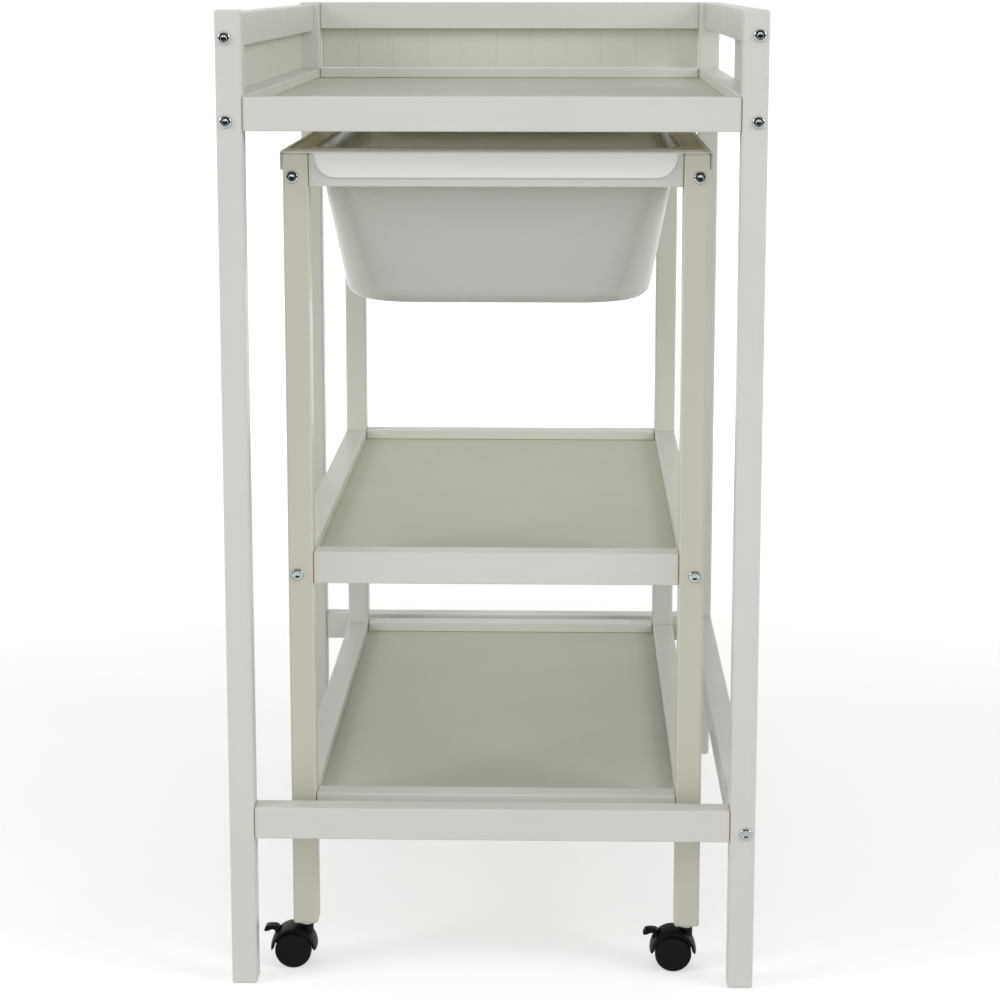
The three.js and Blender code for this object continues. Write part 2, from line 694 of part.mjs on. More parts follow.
function buildTrolley() {
  const trolley = new THREE.Group();
  trolley.position.x = trolleyParkOffset;
  const frame = { width: trolleyWidth, length: trolleyLength, bottom: castorHeight, top: trolleyTop };
  const levels = { top: trolleyTop, middle: middleShelfTop, bottom: bottomShelfTop };
  const heights = Object.values(levels).map((top) => top - railHeight + boltHeight);
  const boltHeights = { left: heights, right: heights };
  trolley.add(...postsOf('trolley_leg', frame, boltHeights, socketRadius, creamLacquer));
  for (const [level, top] of Object.entries(levels)) {
    const grooved = level !== 'top';
    for (const side of Object.keys(sides)) {
      trolley.add(railOnSide(`trolley_${level}_rail_${side}`, side, frame, top, { grooved }, whiteLacquer));
    }
    if (!grooved) continue;
    const board = named(`trolley_${level}_board`, boardGeometry(frame), boardFinish);
    board.position.z = top - boardRecess - boardThickness;
    trolley.add(board);
  }
  trolley.add(buildBath());
  for (const [end, endSign] of [['near', -1], ['far', 1]]) {
    for (const [hand, handSign] of [['left', -1], ['right', 1]]) {
      const castor = buildCastor(`${end}_${hand}`);
      castor.position.x = (handSign * (trolleyWidth - postSide)) / 2;
      castor.position.y = (endSign * (trolleyLength - postSide)) / 2;
      trolley.add(castor);
    }
  }
  return trolley;
}

const changingTable = new THREE.Group();
changingTable.add(buildTable(), buildTrolley());

export default changingTable;
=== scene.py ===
"""Dresses a packed changing table: timber, a moulded bath, twin-wheel castors, bolts and a plain studio."""

import math

import bmesh
import bpy
import numpy as np
from bpy.props import FloatProperty, FloatVectorProperty, IntProperty, PointerProperty
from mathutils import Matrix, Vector


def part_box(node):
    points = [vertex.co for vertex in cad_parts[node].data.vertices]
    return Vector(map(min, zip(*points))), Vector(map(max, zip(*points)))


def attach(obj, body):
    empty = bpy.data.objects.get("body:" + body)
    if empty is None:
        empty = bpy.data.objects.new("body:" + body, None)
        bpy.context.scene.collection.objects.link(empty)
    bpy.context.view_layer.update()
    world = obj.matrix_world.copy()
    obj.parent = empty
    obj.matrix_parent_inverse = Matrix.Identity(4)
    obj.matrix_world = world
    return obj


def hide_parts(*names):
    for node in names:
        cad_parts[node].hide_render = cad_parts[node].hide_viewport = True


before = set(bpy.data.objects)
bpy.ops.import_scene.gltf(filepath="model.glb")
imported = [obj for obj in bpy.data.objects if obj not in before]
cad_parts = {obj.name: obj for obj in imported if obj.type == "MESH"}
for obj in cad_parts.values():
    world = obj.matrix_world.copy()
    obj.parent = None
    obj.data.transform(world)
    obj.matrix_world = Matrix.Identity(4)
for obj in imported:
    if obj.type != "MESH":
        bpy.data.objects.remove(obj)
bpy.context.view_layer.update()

bl_info = {
    "name": "Changing table with a trolley bath",
    "version": (1, 0, 0),
    "blender": (4, 5, 0),
    "location": "View3D > Sidebar > Nursery",
    "description": "Finishes the timber of a changing table and moulds its bath, castors and bolts",
    "category": "Object",
}

MM = 0.001
CORNERS = ("near_left", "near_right", "far_left", "far_right")
SIDES = ("left", "right")
ENDS = ("near", "far")
TROLLEY_LEVELS = ("top", "middle", "bottom")
TABLE_BODY = "table"
TROLLEY_BODY = "trolley"
CATCH = 0.3 * MM  # how far a painted band reaches past the face that it is to catch
CRACK_HEIGHT = 1.1 * MM
RUNNING_GAP = 0.3 * MM  # round an axle or a stem in its bore
FLOOR_REACH, FLOOR_DROP = 40.0, 0.2 * MM  # the floor lies a hair below the feet


def low_high(node):
    """The lowest and highest corner of a packed solid as two arrays."""
    low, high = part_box(node)
    return np.array(low), np.array(high)


BATH_LOW, BATH_HIGH = low_high("bath_tub")


# ---------------------------------------------------------------- settings


def number(name, description, default, **more):
    """A number that the sidebar shows."""
    return FloatProperty(name=name, description=description, default=default, **more)


def length(name, description, millimetres):
    """A length, given in millimetres, that the sidebar shows in the scene's unit."""
    return number(name, description, millimetres * MM, min=0.0, unit="LENGTH", subtype="DISTANCE")


def share(name, description, amount):
    """A number from 0 to 1."""
    return number(name, description, amount, min=0.0, max=1.0, subtype="FACTOR")


def angle(name, description, radians):
    """An angle that the sidebar shows in degrees."""
    return number(name, description, radians, subtype="ANGLE", unit="ROTATION")


def tint(name, description, colour):
    """A colour, given as linear red, green and blue."""
    return FloatVectorProperty(
        name=name, description=description, default=colour, size=3, min=0.0, max=1.0, subtype="COLOR"
    )


class TimberSettings(bpy.types.PropertyGroup):
    """Lacquer on the posts, rails, boards and panels."""

    white: tint("White lacquer", "Colour of the table's posts and rails", (0.70, 0.708, 0.665))
    cream: tint("Cream lacquer", "Colour of the trolley's legs", (0.67, 0.655, 0.56))
    board: tint("Board paint", "Colour of the tray and the shelves", (0.61, 0.618, 0.535))
    panel: tint("Panel paint", "Colour of the guard panels", (0.68, 0.70, 0.615))
    # the joint colour also tints the soft band of painted shade near each rail's end
    joint: tint("Joint line", "Colour where the lacquer thins at a rail's end", (0.38, 0.20, 0.08))
    bare: tint("Bare board", "Colour of fibreboard that no paint reached", (0.52, 0.41, 0.12))
    joint_width: length("Joint line width", "How far the joint line runs back from a rail's end", 0.5)
    gloss: share("Lacquer roughness", "Roughness of the sprayed lacquer", 0.34)
    peel: length("Orange peel", "Height of the ripple that spraying leaves", 0.012)
    grain: length("Grain relief", "Height of the grain that shows through the lacquer", 0.02)


class BathSettings(bpy.types.PropertyGroup):
    """The moulded bath that hangs in the trolley's top frame."""

    colour: tint("Plastic", "Colour of the bath's rim and aprons", (0.88, 0.90, 0.865))
    # painted warm shade: the tub's colour is the rim's white with less blue, standing in for warm light bounced
    # into the shaded tub
    thin: tint("Tub plastic with painted warm shade", "Colour of the tub's thin wall", (0.88, 0.89, 0.70))
    roughness: share("Roughness", "Roughness of the moulded skin", 0.24)
    milk: share("Milkiness", "Share of the light that passes into the plastic", 1.0)
    milk_depth: length("Milk depth", "How far light spreads inside the tub's thin wall", 15.0)
    wall: length("Wall", "Thickness of the tub and the rim", 2.5)
    skirt_wall: length("Apron wall", "Thickness of the apron below the rim", 2.2)
    rim: length("Rim width", "From the rim's outer edge to the mouth of the tub", 34.7)
    rim_roll: length("Rim roll", "Radius between the rim and the apron", 3.6)
    mouth_roll: length("Mouth roll", "Radius between the rim and the tub", 2.4)
    bead: length("Bead half width", "Half the width of the two beads on the rim", 2.0)
    bead_height: length("Bead height", "How far the beads stand above the rim", 1.1)
    bead_inset: length("Outer bead inset", "From the rim's outer edge to the middle of its outer bead", 7.5)
    depth: length("Depth", "From the rim down to the tub's floor inside", 159.3)
    floor_radius: length("Floor radius", "Radius between the tub's wall and its floor", 19.0)
    outer_corner: length("Outer corner", "Corner radius of the rim's outer edge", 10.0)
    mouth_corner: length("Mouth corner", "Corner radius of the tub's mouth", 28.0)
    floor_corner: length("Floor corner", "Corner radius of the tub low down", 54.0)
    apron: length("Apron depth", "How far the apron hangs below the rim at the two ends", 27.0)
    apron_half: length("Apron half width", "Half the width of the deep part of the apron", 181.0)
    apron_corner: length("Apron corner", "Radius at the apron's lower corners", 21.0)
    apron_fillet: length("Apron fillet", "Radius where the apron meets the lip beside it", 2.8)
    lip: length("Lip depth", "Depth of the rim's edge beside the apron", 2.7)
    side_depth: length("Side depth", "How far the rim's edge hangs at the long sides", 20.5)
    side_corner: length("Side corner", "Radius at the lower corners of the long sides", 3.0)
    edge: length("Edge rounding", "Rounding of the apron's lower edge", 0.7)
    taper: angle("Taper", "Lean of the tub's walls", math.radians(9.9))


class CastorSettings(bpy.types.PropertyGroup):
    """The twin-wheel braked castors under the trolley's legs."""

    nylon: tint("Nylon", "Colour of the hoods, wheels and levers", (0.0024, 0.0032, 0.0022))
    roughness: share("Nylon roughness", "Roughness of the black nylon", 0.46)
    sleeve: tint("Sleeve plastic", "Colour of the sleeve between the hood and the leg", (0.78, 0.79, 0.74))
    wheel_radius: length("Wheel radius", "Radius of the tread", 19.2)
    wheel_width: length("Wheel pair width", "Width over both wheels", 34.0)
    wheel_edge: length("Wheel edge", "Rounding of each wheel's edges", 2.4)
    wheel_gap: length("Wheel gap", "Distance between the two wheels", 7.6)
    wheel_dish: length("Wheel dish", "How far each wheel's face is dished", 0.25)
    axle: length("Axle radius", "Radius of the axle between the wheels", 2.5)
    web: length("Web thickness", "Thickness of the wall between the wheels", 6.4)
    hood_width: length("Hood width", "Width of the hood over the wheels", 33.0)
    hood_edge: length("Hood edge radius", "Outside radius of the hood at its two faces", 22.2)
    hood_crown: length("Hood crown radius", "Outside radius of the hood at its middle", 24.6)
    hood_gap: length("Hood gap", "Room between the wheels and the hood", 1.0)
    tip_height: length("Hood tip height", "Height of the hood's tips above the axle", 0.4)
    tip_rise: length("Hood tip slope", "How much higher the hood ends on its inside", 3.0)
    axle_boss: length("Axle boss radius", "Radius of the boss round the axle", 7.0)
    trail: length("Trail", "From the axle to the stem's own axis", 13.7)
    boss: length("Stem boss radius", "Radius of the boss round the stem", 6.9)
    boss_top: length("Stem boss top", "Height of the stem boss above the floor", 44.3)
    stem: length("Stem radius", "Radius of the steel stem", 3.5)
    lever_radius: length("Lever pivot radius", "From the axle to the lever's pivot", 22.2)
    lever_angle: angle("Lever pivot angle", "Angle of the pivot round the axle", math.radians(138.0))
    lever_width: length("Lever width", "Width of the brake lever", 11.4)
    lever_reach: length("Lever reach", "From the lever's pivot to its tip", 14.0)
    lever_rise: length("Lever rise", "Height of the lever above its pivot", 8.8)
    lever_hub: length("Lever hub radius", "Radius of the lever's hub", 2.3)
    pin: length("Lever pin radius", "Radius of the pin that the lever turns on", 1.0)
    pin_length: length("Lever pin length", "Length of the pin that the lever turns on", 17.0)
    slot_gap: length("Slot gap", "Room beside the lever in the hood's slot", 0.5)


class BoltSettings(bpy.types.PropertyGroup):
    """The round-headed bolts that hold the side rails to the posts and legs."""

    steel: tint("Zinc plate", "Colour of the bolts and castor stems", (0.43, 0.465, 0.45))
    head: length("Head radius", "Radius of the bolt's head", 6.5)
    height: length("Head height", "Height of the bolt's head", 2.6)
    flat: length("Flat radius", "Radius of the flat ring round the socket", 4.1)
    socket: length("Socket size", "Width of the hexagon socket across its flats", 5.4)
    socket_depth: length("Socket depth", "Depth of the hexagon socket", 2.3)
    shank: length("Shank radius", "Radius of the bolt's shank", 3.0)
    shank_length: length("Shank length", "Length of the bolt below its head", 60.0)
    inset: length("Inset", "From a post's outer side to the bolt's axis", 9.5)
    rise: length("Rise", "From a rail's lower face to the bolt's axis", 9.3)
    sides: IntProperty(name="Sides", description="Facets round a bolt, a multiple of 12", default=72, min=12)


class StageSettings(bpy.types.PropertyGroup):
    """Floor, light and camera of the studio."""

    floor: tint("Floor", "Colour of the studio floor", (0.72, 0.72, 0.71))
    floor_lift: share("Floor lift", "How much lighter the camera sees the floor", 0.5)
    fill: share("Room light", "Strength of the even light from all round", 0.46)
    lamp: number("Side lamps", "Power of each side lamp", 150.0, unit="POWER")
    front_lamp: number("Front lamp", "Power of the front lamp", 72.0, unit="POWER")
    lamp_size: length("Lamp size", "Side of each soft lamp", 2900.0)
    lamp_reach: length("Lamp distance", "From the object's middle to each lamp", 7300.0)
    lamp_turn: angle("Lamp turn", "How far each side lamp stands off the front", math.radians(62.0))
    lamp_rise: angle("Side lamp rise", "How high each side lamp stands", math.radians(25.0))
    front_rise: angle("Front lamp rise", "How high the front lamp stands", math.radians(10.0))
    card_size: length("Dark card width", "Width of the dark card, which is half as tall", 12000.0)
    card_reach: length("Dark card distance", "From the object's middle to the dark card", 4800.0)
    camera_place: FloatVectorProperty(
        name="Camera place",
        description="Where the camera stands",
        default=(0.0708, -2.8924, 1.0299),
        subtype="TRANSLATION",
        unit="LENGTH",
    )
    camera_pitch: angle("Camera pitch", "How far the camera looks down", 0.17617)
    camera_turn: angle("Camera turn", "How far the camera turns to the left", 0.02582)
    lens: number("Lens", "Focal length in millimetres", 90.863, unit="CAMERA")
    shift: FloatVectorProperty(
        name="Lens shift", description="Shift of the lens, right and up", default=(0.0017, -0.072), size=2
    )


# ---------------------------------------------------------------- surfaces


def grid_faces(rows, columns):
    """Quads of a grid whose point number = row * columns + column, its last column joined to its first."""
    row, column = np.meshgrid(np.arange(rows - 1), np.arange(columns), indexing="ij")
    after = (column + 1) % columns
    corners = (
        row * columns + column,
        row * columns + after,
        (row + 1) * columns + after,
        (row + 1) * columns + column,
    )
    return np.stack(corners, axis=-1).reshape(-1, 4)


def outward(points, faces):
    """A closed shell whose quads look outwards: the volumes under its quads must add up to more than 0."""
    a, b, c, d = (points[faces[:, i]] for i in range(4))
    volume = np.einsum("ij,ij->", a, np.cross(b, c)) + np.einsum("ij,ij->", a, np.cross(c, d))
    return points, faces if volume > 0 else faces[:, ::-1]


def shell(points):
    """The closed skin through points[row, column]: columns go round, and both ends close on their middle.
    """
    first, last = (
        np.broadcast_to(row.mean(axis=1, keepdims=True), row.shape) for row in (points[:1], points[-1:])
    )
    rings = np.concatenate([first, points, last])
    return outward(rings.reshape(-1, 3), grid_faces(*rings.shape[:2]))


def arc(centre, radius, start, end, count):
    """count points on a circle: centre + radius * (cos, sin) of angles from start to end in degrees."""
    angle = np.radians(np.linspace(start, end, count))
    return np.stack([centre[0] + radius * np.cos(angle), centre[1] + radius * np.sin(angle)], axis=1)


def around(profile, sides, axis="z", swell=None):
    """Points of a lathe shape: each (radius, height) runs round the axis, times swell(turn) if given."""
    turn = np.linspace(0.0, 2.0 * math.pi, sides, endpoint=False)
    radius = profile[:, :1] * (np.ones(sides) if swell is None else swell(turn))
    height = np.repeat(profile[:, 1:], sides, axis=1)
    across, along = radius * np.cos(turn), radius * np.sin(turn)
    stacks = {"z": (across, along, height), "y": (across, height, along)}
    return np.stack(stacks[axis], axis=-1)


def turned(profile, sides, axis="z", swell=None):
    """A solid lathe shape, closed where its profile ends."""
    return shell(around(profile, sides, axis, swell))


def hoop(points):
    """The closed skin through points[row, column] whose rows and columns both go round."""
    return outward(points.reshape(-1, 3), grid_faces(*points.shape[:2]))


def smooth_through(points, count):
    """count points on the Catmull-Rom curve, a cubic of the four nearest points on each stretch."""
    points = np.asarray(points, float)
    ends = np.concatenate([2 * points[:1] - points[1:2], points, 2 * points[-1:] - points[-2:-1]])
    place = np.linspace(0.0, len(points) - 1.0, count)
    step = np.minimum(place.astype(int), len(points) - 2)
    t = (place - step)[:, None]
    p0, p1, p2, p3 = (ends[step + i] for i in range(4))
    bend, twist = 2 * p0 - 5 * p1 + 4 * p2 - p3, 3 * p1 - p0 - 3 * p2 + p3
    return 0.5 * (2 * p1 + (p2 - p0) * t + bend * t**2 + twist * t**3)


def skin_of_cells(points, solid):
    """The skin of cells with corners points[i, j, k]: a quad where a solid cell meets an empty one."""
    index = np.arange(points[..., 0].size).reshape(points.shape[:3])
    faces = []
    for axis in range(3):
        cells = np.moveaxis(solid.astype(int), axis, 0)
        corner = np.moveaxis(index, axis, 0)
        change = np.diff(np.pad(cells, ((1, 1), (0, 0), (0, 0))), axis=0)
        quad = np.stack(
            [corner[:, :-1, :-1], corner[:, 1:, :-1], corner[:, 1:, 1:], corner[:, :-1, 1:]],
            axis=-1,
        )
        side = -1 if axis == 1 else 1
        faces += [quad[change == side], quad[change == -side][:, ::-1]]
    faces = np.concatenate(faces)
    used, inverse = np.unique(faces, return_inverse=True)
    return outward(points.reshape(-1, 3)[used], inverse.reshape(faces.shape))


def make_piece(name, shells, material, body, replaces=(), crease=32.0, zone=None):
    """A mesh object from closed shells, welded where points meet and smooth up to the crease angle in
    degrees; zone may give each quad a whole number, kept as an attribute.
    """
    mesh = bpy.data.meshes.new(name)
    starts = np.cumsum([0] + [len(points) for points, _ in shells[:-1]])
    points = np.concatenate([points for points, _ in shells])
    faces = np.concatenate([faces + start for (_, faces), start in zip(shells, starts)])
    mesh.from_pydata(points.tolist(), [], faces.tolist())
    if zone is not None:
        mesh.attributes.new("zone", "INT", "FACE").data.foreach_set("value", zone.astype(np.int32))
    solid = bmesh.new()
    solid.from_mesh(mesh)
    bmesh.ops.remove_doubles(solid, verts=solid.verts, dist=1e-7)
    bmesh.ops.dissolve_degenerate(solid, edges=solid.edges, dist=1e-7)
    solid.to_mesh(mesh)
    solid.free()
    mesh.shade_smooth()
    mesh.set_sharp_from_angle(angle=math.radians(crease))
    mesh.materials.append(material)
    piece = bpy.data.objects.new(name, mesh)
    bpy.context.scene.collection.objects.link(piece)
    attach(piece, body)
    if replaces:
        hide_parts(*replaces)
    return piece


def placed(part, offset):
    """A shell moved by an offset."""
    points, faces = part
    return points + np.asarray(offset), faces


def round_edges(piece, width):
    """Rounds the edges of a piece whose two faces meet at more than 35 degrees."""
    bevel = piece.modifiers.new("Rounded edges", "BEVEL")
    bevel.width = width
    bevel.segments = 2
    bevel.limit_method = "ANGLE"
    bevel.angle_limit = math.radians(35.0)


# ---------------------------------------------------------------- node tools


def feed(tree, socket, value):
    """Links another node's socket into an input, or sets the input's own value."""
    if isinstance(value, bpy.types.NodeSocket):
        tree.links.new(value, socket)
    else:
        socket.default_value = value


def wire(tree, kind, options=None, **inputs):
    """Adds a node, sets its options, and feeds each named input."""
    node = tree.nodes.new(kind)
    for key, value in (options or {}).items():
        setattr(node, key, value)
    for key, value in inputs.items():
        feed(tree, node.inputs[key.replace("_", " ")], value)
    return node


def figure(tree, operation, *values):
    """A Math node's result for up to three numbers or sockets."""
    node = wire(tree, "ShaderNodeMath", {"operation": operation})
    for socket, value in zip(node.inputs, values):
        feed(tree, socket, value)
    return node.outputs[0]


def ramp(tree, value, low, high, to_low=0.0, to_high=1.0):
    """Maps a value smoothly from low..high to to_low..to_high."""
    ends = {"From_Min": low, "From_Max": high, "To_Min": to_low, "To_Max": to_high}
    node = wire(tree, "ShaderNodeMapRange", {"interpolation_type": "SMOOTHSTEP"}, Value=value, **ends)
    return node.outputs["Result"]


def blended(tree, amount, first, second):
    """A colour between two colours or sockets."""
    node = wire(tree, "ShaderNodeMix", {"data_type": "RGBA"})
    for index, value in ((0, amount), (6, first), (7, second)):
        feed(tree, node.inputs[index], value)
    return node.outputs[2]


def noise(tree, vector, scale, detail=2.0, roughness=0.5):
    """A Noise texture's value."""
    settings = {"Vector": vector, "Scale": scale, "Detail": detail, "Roughness": roughness}
    return wire(tree, "ShaderNodeTexNoise", None, **settings).outputs[0]


def stretched(tree, vector, scale, turn=(0.0, 0.0, 0.0)):
    """A vector through a Mapping node."""
    return wire(tree, "ShaderNodeMapping", None, Vector=vector, Scale=scale, Rotation=turn).outputs[0]


def start_group(name, inputs, outputs):
    """A shader node group with named inputs (name, kind, default) and outputs (name, kind)."""
    group = bpy.data.node_groups.new(name, "ShaderNodeTree")
    for title, kind, default in inputs:
        socket = group.interface.new_socket(name=title, in_out="INPUT", socket_type=kind)
        if default is not None:
            socket.default_value = default
    for title, kind in outputs:
        group.interface.new_socket(name=title, in_out="OUTPUT", socket_type=kind)
    return group, group.nodes.new("NodeGroupInput").outputs, group.nodes.new("NodeGroupOutput").inputs


def use_group(tree, name, **inputs):
    """Places a group in a material's tree with its own values and returns its outputs."""
    return wire(tree, "ShaderNodeGroup", {"node_tree": bpy.data.node_groups[name]}, **inputs).outputs


VECTOR, NUMBER = "NodeSocketVector", "NodeSocketFloat"


def timber_grain_group():
    """Timber Grain: long streaks along Z from noise stretched some thirty to one, and short pores."""
    group, given, out = start_group(
        "Timber Grain",
        [("Vector", VECTOR, None), ("Figure Size", NUMBER, 90.0)],
        [("Streak", NUMBER), ("Relief", NUMBER)],
    )
    fibres = stretched(group, given["Vector"], (1.0, 1.0, 0.035))
    broad = noise(group, fibres, given["Figure Size"], 3.0, 0.55)
    pores = noise(group, stretched(group, given["Vector"], (1.0, 1.0, 0.05)), 1100.0, 1.0, 0.4)
    streak = ramp(group, broad, 0.32, 0.70)
    dips = ramp(group, pores, 0.60, 0.74)
    group.links.new(streak, out["Streak"])
    group.links.new(figure(group, "MULTIPLY_ADD", dips, -0.7, streak), out["Relief"])


def spray_coat_group():
    """Spray Coat: the ripple of sprayed lacquer, with cloudy patches for sheen and tone."""
    group, given, out = start_group(
        "Spray Coat",
        [("Vector", VECTOR, None), ("Ripple Size", NUMBER, 420.0)],
        [("Ripple", NUMBER), ("Haze", NUMBER), ("Mottle", NUMBER), ("Speck", NUMBER)],
    )
    fine = noise(group, given["Vector"], given["Ripple Size"], 1.5, 0.45)
    wide = noise(group, given["Vector"], 70.0, 2.0, 0.5)
    group.links.new(figure(group, "MULTIPLY_ADD", wide, 0.8, fine), out["Ripple"])
    group.links.new(ramp(group, noise(group, given["Vector"], 14.0, 3.0, 0.6), 0.3, 0.7), out["Haze"])
    group.links.new(ramp(group, noise(group, given["Vector"], 5.0, 4.0, 0.55), 0.3, 0.7), out["Mottle"])
    dust = noise(group, given["Vector"], 900.0, 0.0, 0.5)
    group.links.new(ramp(group, dust, 0.80, 0.86), out["Speck"])


def joint_line_group():
    """Joint Line: 1 within an uneven width of a rail's end, from the place along the rail; Shade fades from 1 to
    0 over 4 mm from the end, a painted shade where the rail meets its post.
    """
    group, given, out = start_group(
        "Joint Line",
        [
            ("Vector", VECTOR, None),
            ("Along", NUMBER, 0.0),
            ("Half Length", NUMBER, 0.2),
            ("Width", NUMBER, 0.0005),
        ],
        [("Line", NUMBER), ("Shade", NUMBER)],
    )
    waver = figure(group, "MULTIPLY_ADD", noise(group, given["Vector"], 160.0, 2.0, 0.6), 0.7, 0.65)
    width = figure(group, "MULTIPLY", given["Width"], waver)
    inside = figure(group, "SUBTRACT", given["Half Length"], figure(group, "ABSOLUTE", given["Along"]))
    sharp = ramp(group, inside, figure(group, "MULTIPLY", width, 0.4), width)
    # painted shade: darkest at the rail's end where it meets its post, fading out over 4 mm
    soft = ramp(group, inside, 0.0, 4.0 * MM)
    group.links.new(figure(group, "SUBTRACT", 1.0, sharp), out["Line"])
    group.links.new(figure(group, "SUBTRACT", 1.0, soft), out["Shade"])


def moulded_skin_group():
    """Moulded Skin: fine spark-eroded texture, slow flow marks and light scuffs on plastic."""
    group, given, out = start_group(
        "Moulded Skin",
        [("Vector", VECTOR, None), ("Texture Size", NUMBER, 1800.0)],
        [("Texture", NUMBER), ("Flow", NUMBER), ("Scuff", NUMBER)],
    )
    group.links.new(noise(group, given["Vector"], given["Texture Size"], 2.0, 0.6), out["Texture"])
    group.links.new(ramp(group, noise(group, given["Vector"], 6.0, 2.0, 0.5), 0.3, 0.7), out["Flow"])
    strokes = stretched(group, given["Vector"], (1.0, 0.12, 0.6), (0.3, 0.2, 0.5))
    scratch = noise(group, strokes, 520.0, 3.0, 0.65)
    group.links.new(ramp(group, scratch, 0.62, 0.76), out["Scuff"])


def plated_metal_group():
    """Plated Metal: the faint clouding and brushed lines of bright zinc plate."""
    group, given, out = start_group(
        "Plated Metal",
        [("Vector", VECTOR, None)],
        [("Cloud", NUMBER), ("Brush", NUMBER)],
    )
    group.links.new(ramp(group, noise(group, given["Vector"], 260.0, 3.0, 0.6), 0.3, 0.7), out["Cloud"])
    lines = stretched(group, given["Vector"], (1.0, 0.2, 1.0))
    group.links.new(noise(group, lines, 2600.0, 1.0, 0.5), out["Brush"])


def start_material(name):
    """An empty material, its tree, its Principled shader and its object coordinates."""
    material = bpy.data.materials.new(name)
    material.use_nodes = True
    tree = material.node_tree
    tree.nodes.clear()
    shader = tree.nodes.new("ShaderNodeBsdfPrincipled")
    output = tree.nodes.new("ShaderNodeOutputMaterial")
    tree.links.new(shader.outputs[0], output.inputs[0])
    place = tree.nodes.new("ShaderNodeTexCoord").outputs["Object"]
    return material, tree, shader, place


def relief(tree, shader, height, distance):
    """Feeds a height into the shader's normal through a Bump node."""
    bump = wire(tree, "ShaderNodeBump", None, Height=height, Distance=distance, Strength=1.0)
    tree.links.new(bump.outputs[0], shader.inputs["Normal"])


def shaded(colour, amount):
    """A colour made lighter or darker, with its alpha."""
    return (*(min(1.0, channel * amount) for channel in colour), 1.0)


GRAIN_TURN = {"x": (0.0, math.pi / 2, 0.0), "y": (math.pi / 2, 0.0, 0.0), "z": (0.0, 0.0, 0.0)}
# JOINT_PAINTED_SHADE sets how strongly the painted shade near a rail's end darkens the lacquer
STREAK_SHARE, SPECK_SHARE, JOINT_PAINTED_SHADE, JOINT_LINE, BARE_SHARE = 0.35, 0.25, 0.18, 0.72, 0.9


def end_lines(tree, tone, place, settings, axis, half, centre):
    """The tone with a thin joint line and a soft band of painted shade at both ends of a rail, half long about
    centre.
    """
    parts = wire(tree, "ShaderNodeSeparateXYZ", None, Vector=place).outputs
    along = figure(tree, "SUBTRACT", parts[axis.upper()], centre)
    given = {"Along": along, "Half_Length": half, "Width": settings.joint_width}
    end = use_group(tree, "Joint Line", Vector=place, **given)
    # the soft band is painted shade at the joint; the thin line is the joint's own darker colour
    for mask, amount in ((end["Shade"], JOINT_PAINTED_SHADE), (end["Line"], JOINT_LINE)):
        tone = blended(tree, figure(tree, "MULTIPLY", mask, amount), tone, (*settings.joint, 1.0))
    return tone


def bare_inside(tree, tone, place, settings, box):
    """The tone with bare board inside a box, where the least room to its six faces is above 0."""
    parts = wire(tree, "ShaderNodeSeparateXYZ", None, Vector=place).outputs
    room = 1.0
    for axis, low, high in zip("XYZ", *box):
        room = figure(tree, "MINIMUM", room, figure(tree, "SUBTRACT", parts[axis], low))
        room = figure(tree, "MINIMUM", room, figure(tree, "SUBTRACT", high, parts[axis]))
    inside = figure(tree, "GREATER_THAN", room, 0.0)
    return blended(tree, figure(tree, "MULTIPLY", inside, BARE_SHARE), tone, (*settings.bare, 1.0))


def lacquer(name, colour, grain, settings, joint=None, figured=1.0, mottle=1.0, dull=0.0, bare=None):
    """Sprayed lacquer over timber with its grain along an axis; joint is half a rail's length and its
    middle, figured how much grain shows, dull how matt it is, and bare a box that no paint reached.
    """
    material, tree, shader, place = start_material(name)
    along_grain = stretched(tree, place, (1.0, 1.0, 1.0), GRAIN_TURN[grain])
    timber = use_group(tree, "Timber Grain", Vector=along_grain)
    coat = use_group(tree, "Spray Coat", Vector=place)
    spread = 0.015 * mottle
    tone = blended(tree, coat["Mottle"], shaded(colour, 1 - spread), shaded(colour, 1 + spread))
    warm = (colour[0] * 0.975, colour[1] * 0.965, colour[2] * 0.93, 1.0)
    streak = figure(tree, "MULTIPLY", timber["Streak"], STREAK_SHARE * figured)
    tone = blended(tree, streak, tone, warm)
    speck = figure(tree, "MULTIPLY", coat["Speck"], SPECK_SHARE)
    tone = blended(tree, speck, tone, shaded(colour, 0.8))
    if joint:
        tone = end_lines(tree, tone, place, settings, grain, *joint)
    if bare is not None:
        tone = bare_inside(tree, tone, place, settings, bare)
    tree.links.new(tone, shader.inputs["Base Color"])
    gloss = settings.gloss + dull
    sheen = ramp(tree, coat["Haze"], 0.0, 1.0, gloss - 0.03, gloss + 0.06)
    tree.links.new(sheen, shader.inputs["Roughness"])
    shader.inputs["Specular IOR Level"].default_value = 0.5 - dull
    ripple = figure(tree, "MULTIPLY", coat["Ripple"], settings.peel)
    height = figure(tree, "MULTIPLY_ADD", timber["Relief"], settings.grain * figured, ripple)
    relief(tree, shader, height, 1.0)
    return material


def plastic(name, colour, roughness, relief_height, texture_size, scuff, worn=None, mirror=0.5):
    """Moulded plastic: an even colour with slow flow marks, a fine skin and light scuffs."""
    material, tree, shader, place = start_material(name)
    skin = use_group(tree, "Moulded Skin", Vector=place, Texture_Size=texture_size)
    tone = blended(tree, skin["Flow"], shaded(colour, 0.985), shaded(colour, 1.015))
    scuffed = (*worn, 1.0) if worn else shaded(colour, 0.93)
    tone = blended(tree, figure(tree, "MULTIPLY", skin["Scuff"], scuff), tone, scuffed)
    tree.links.new(tone, shader.inputs["Base Color"])
    even = ramp(tree, skin["Flow"], 0.0, 1.0, roughness - 0.03, roughness + 0.03)
    rough = figure(tree, "MULTIPLY_ADD", skin["Scuff"], 0.14, even)
    tree.links.new(rough, shader.inputs["Roughness"])
    shader.inputs["Specular IOR Level"].default_value = mirror
    relief(tree, shader, skin["Texture"], relief_height)
    return material


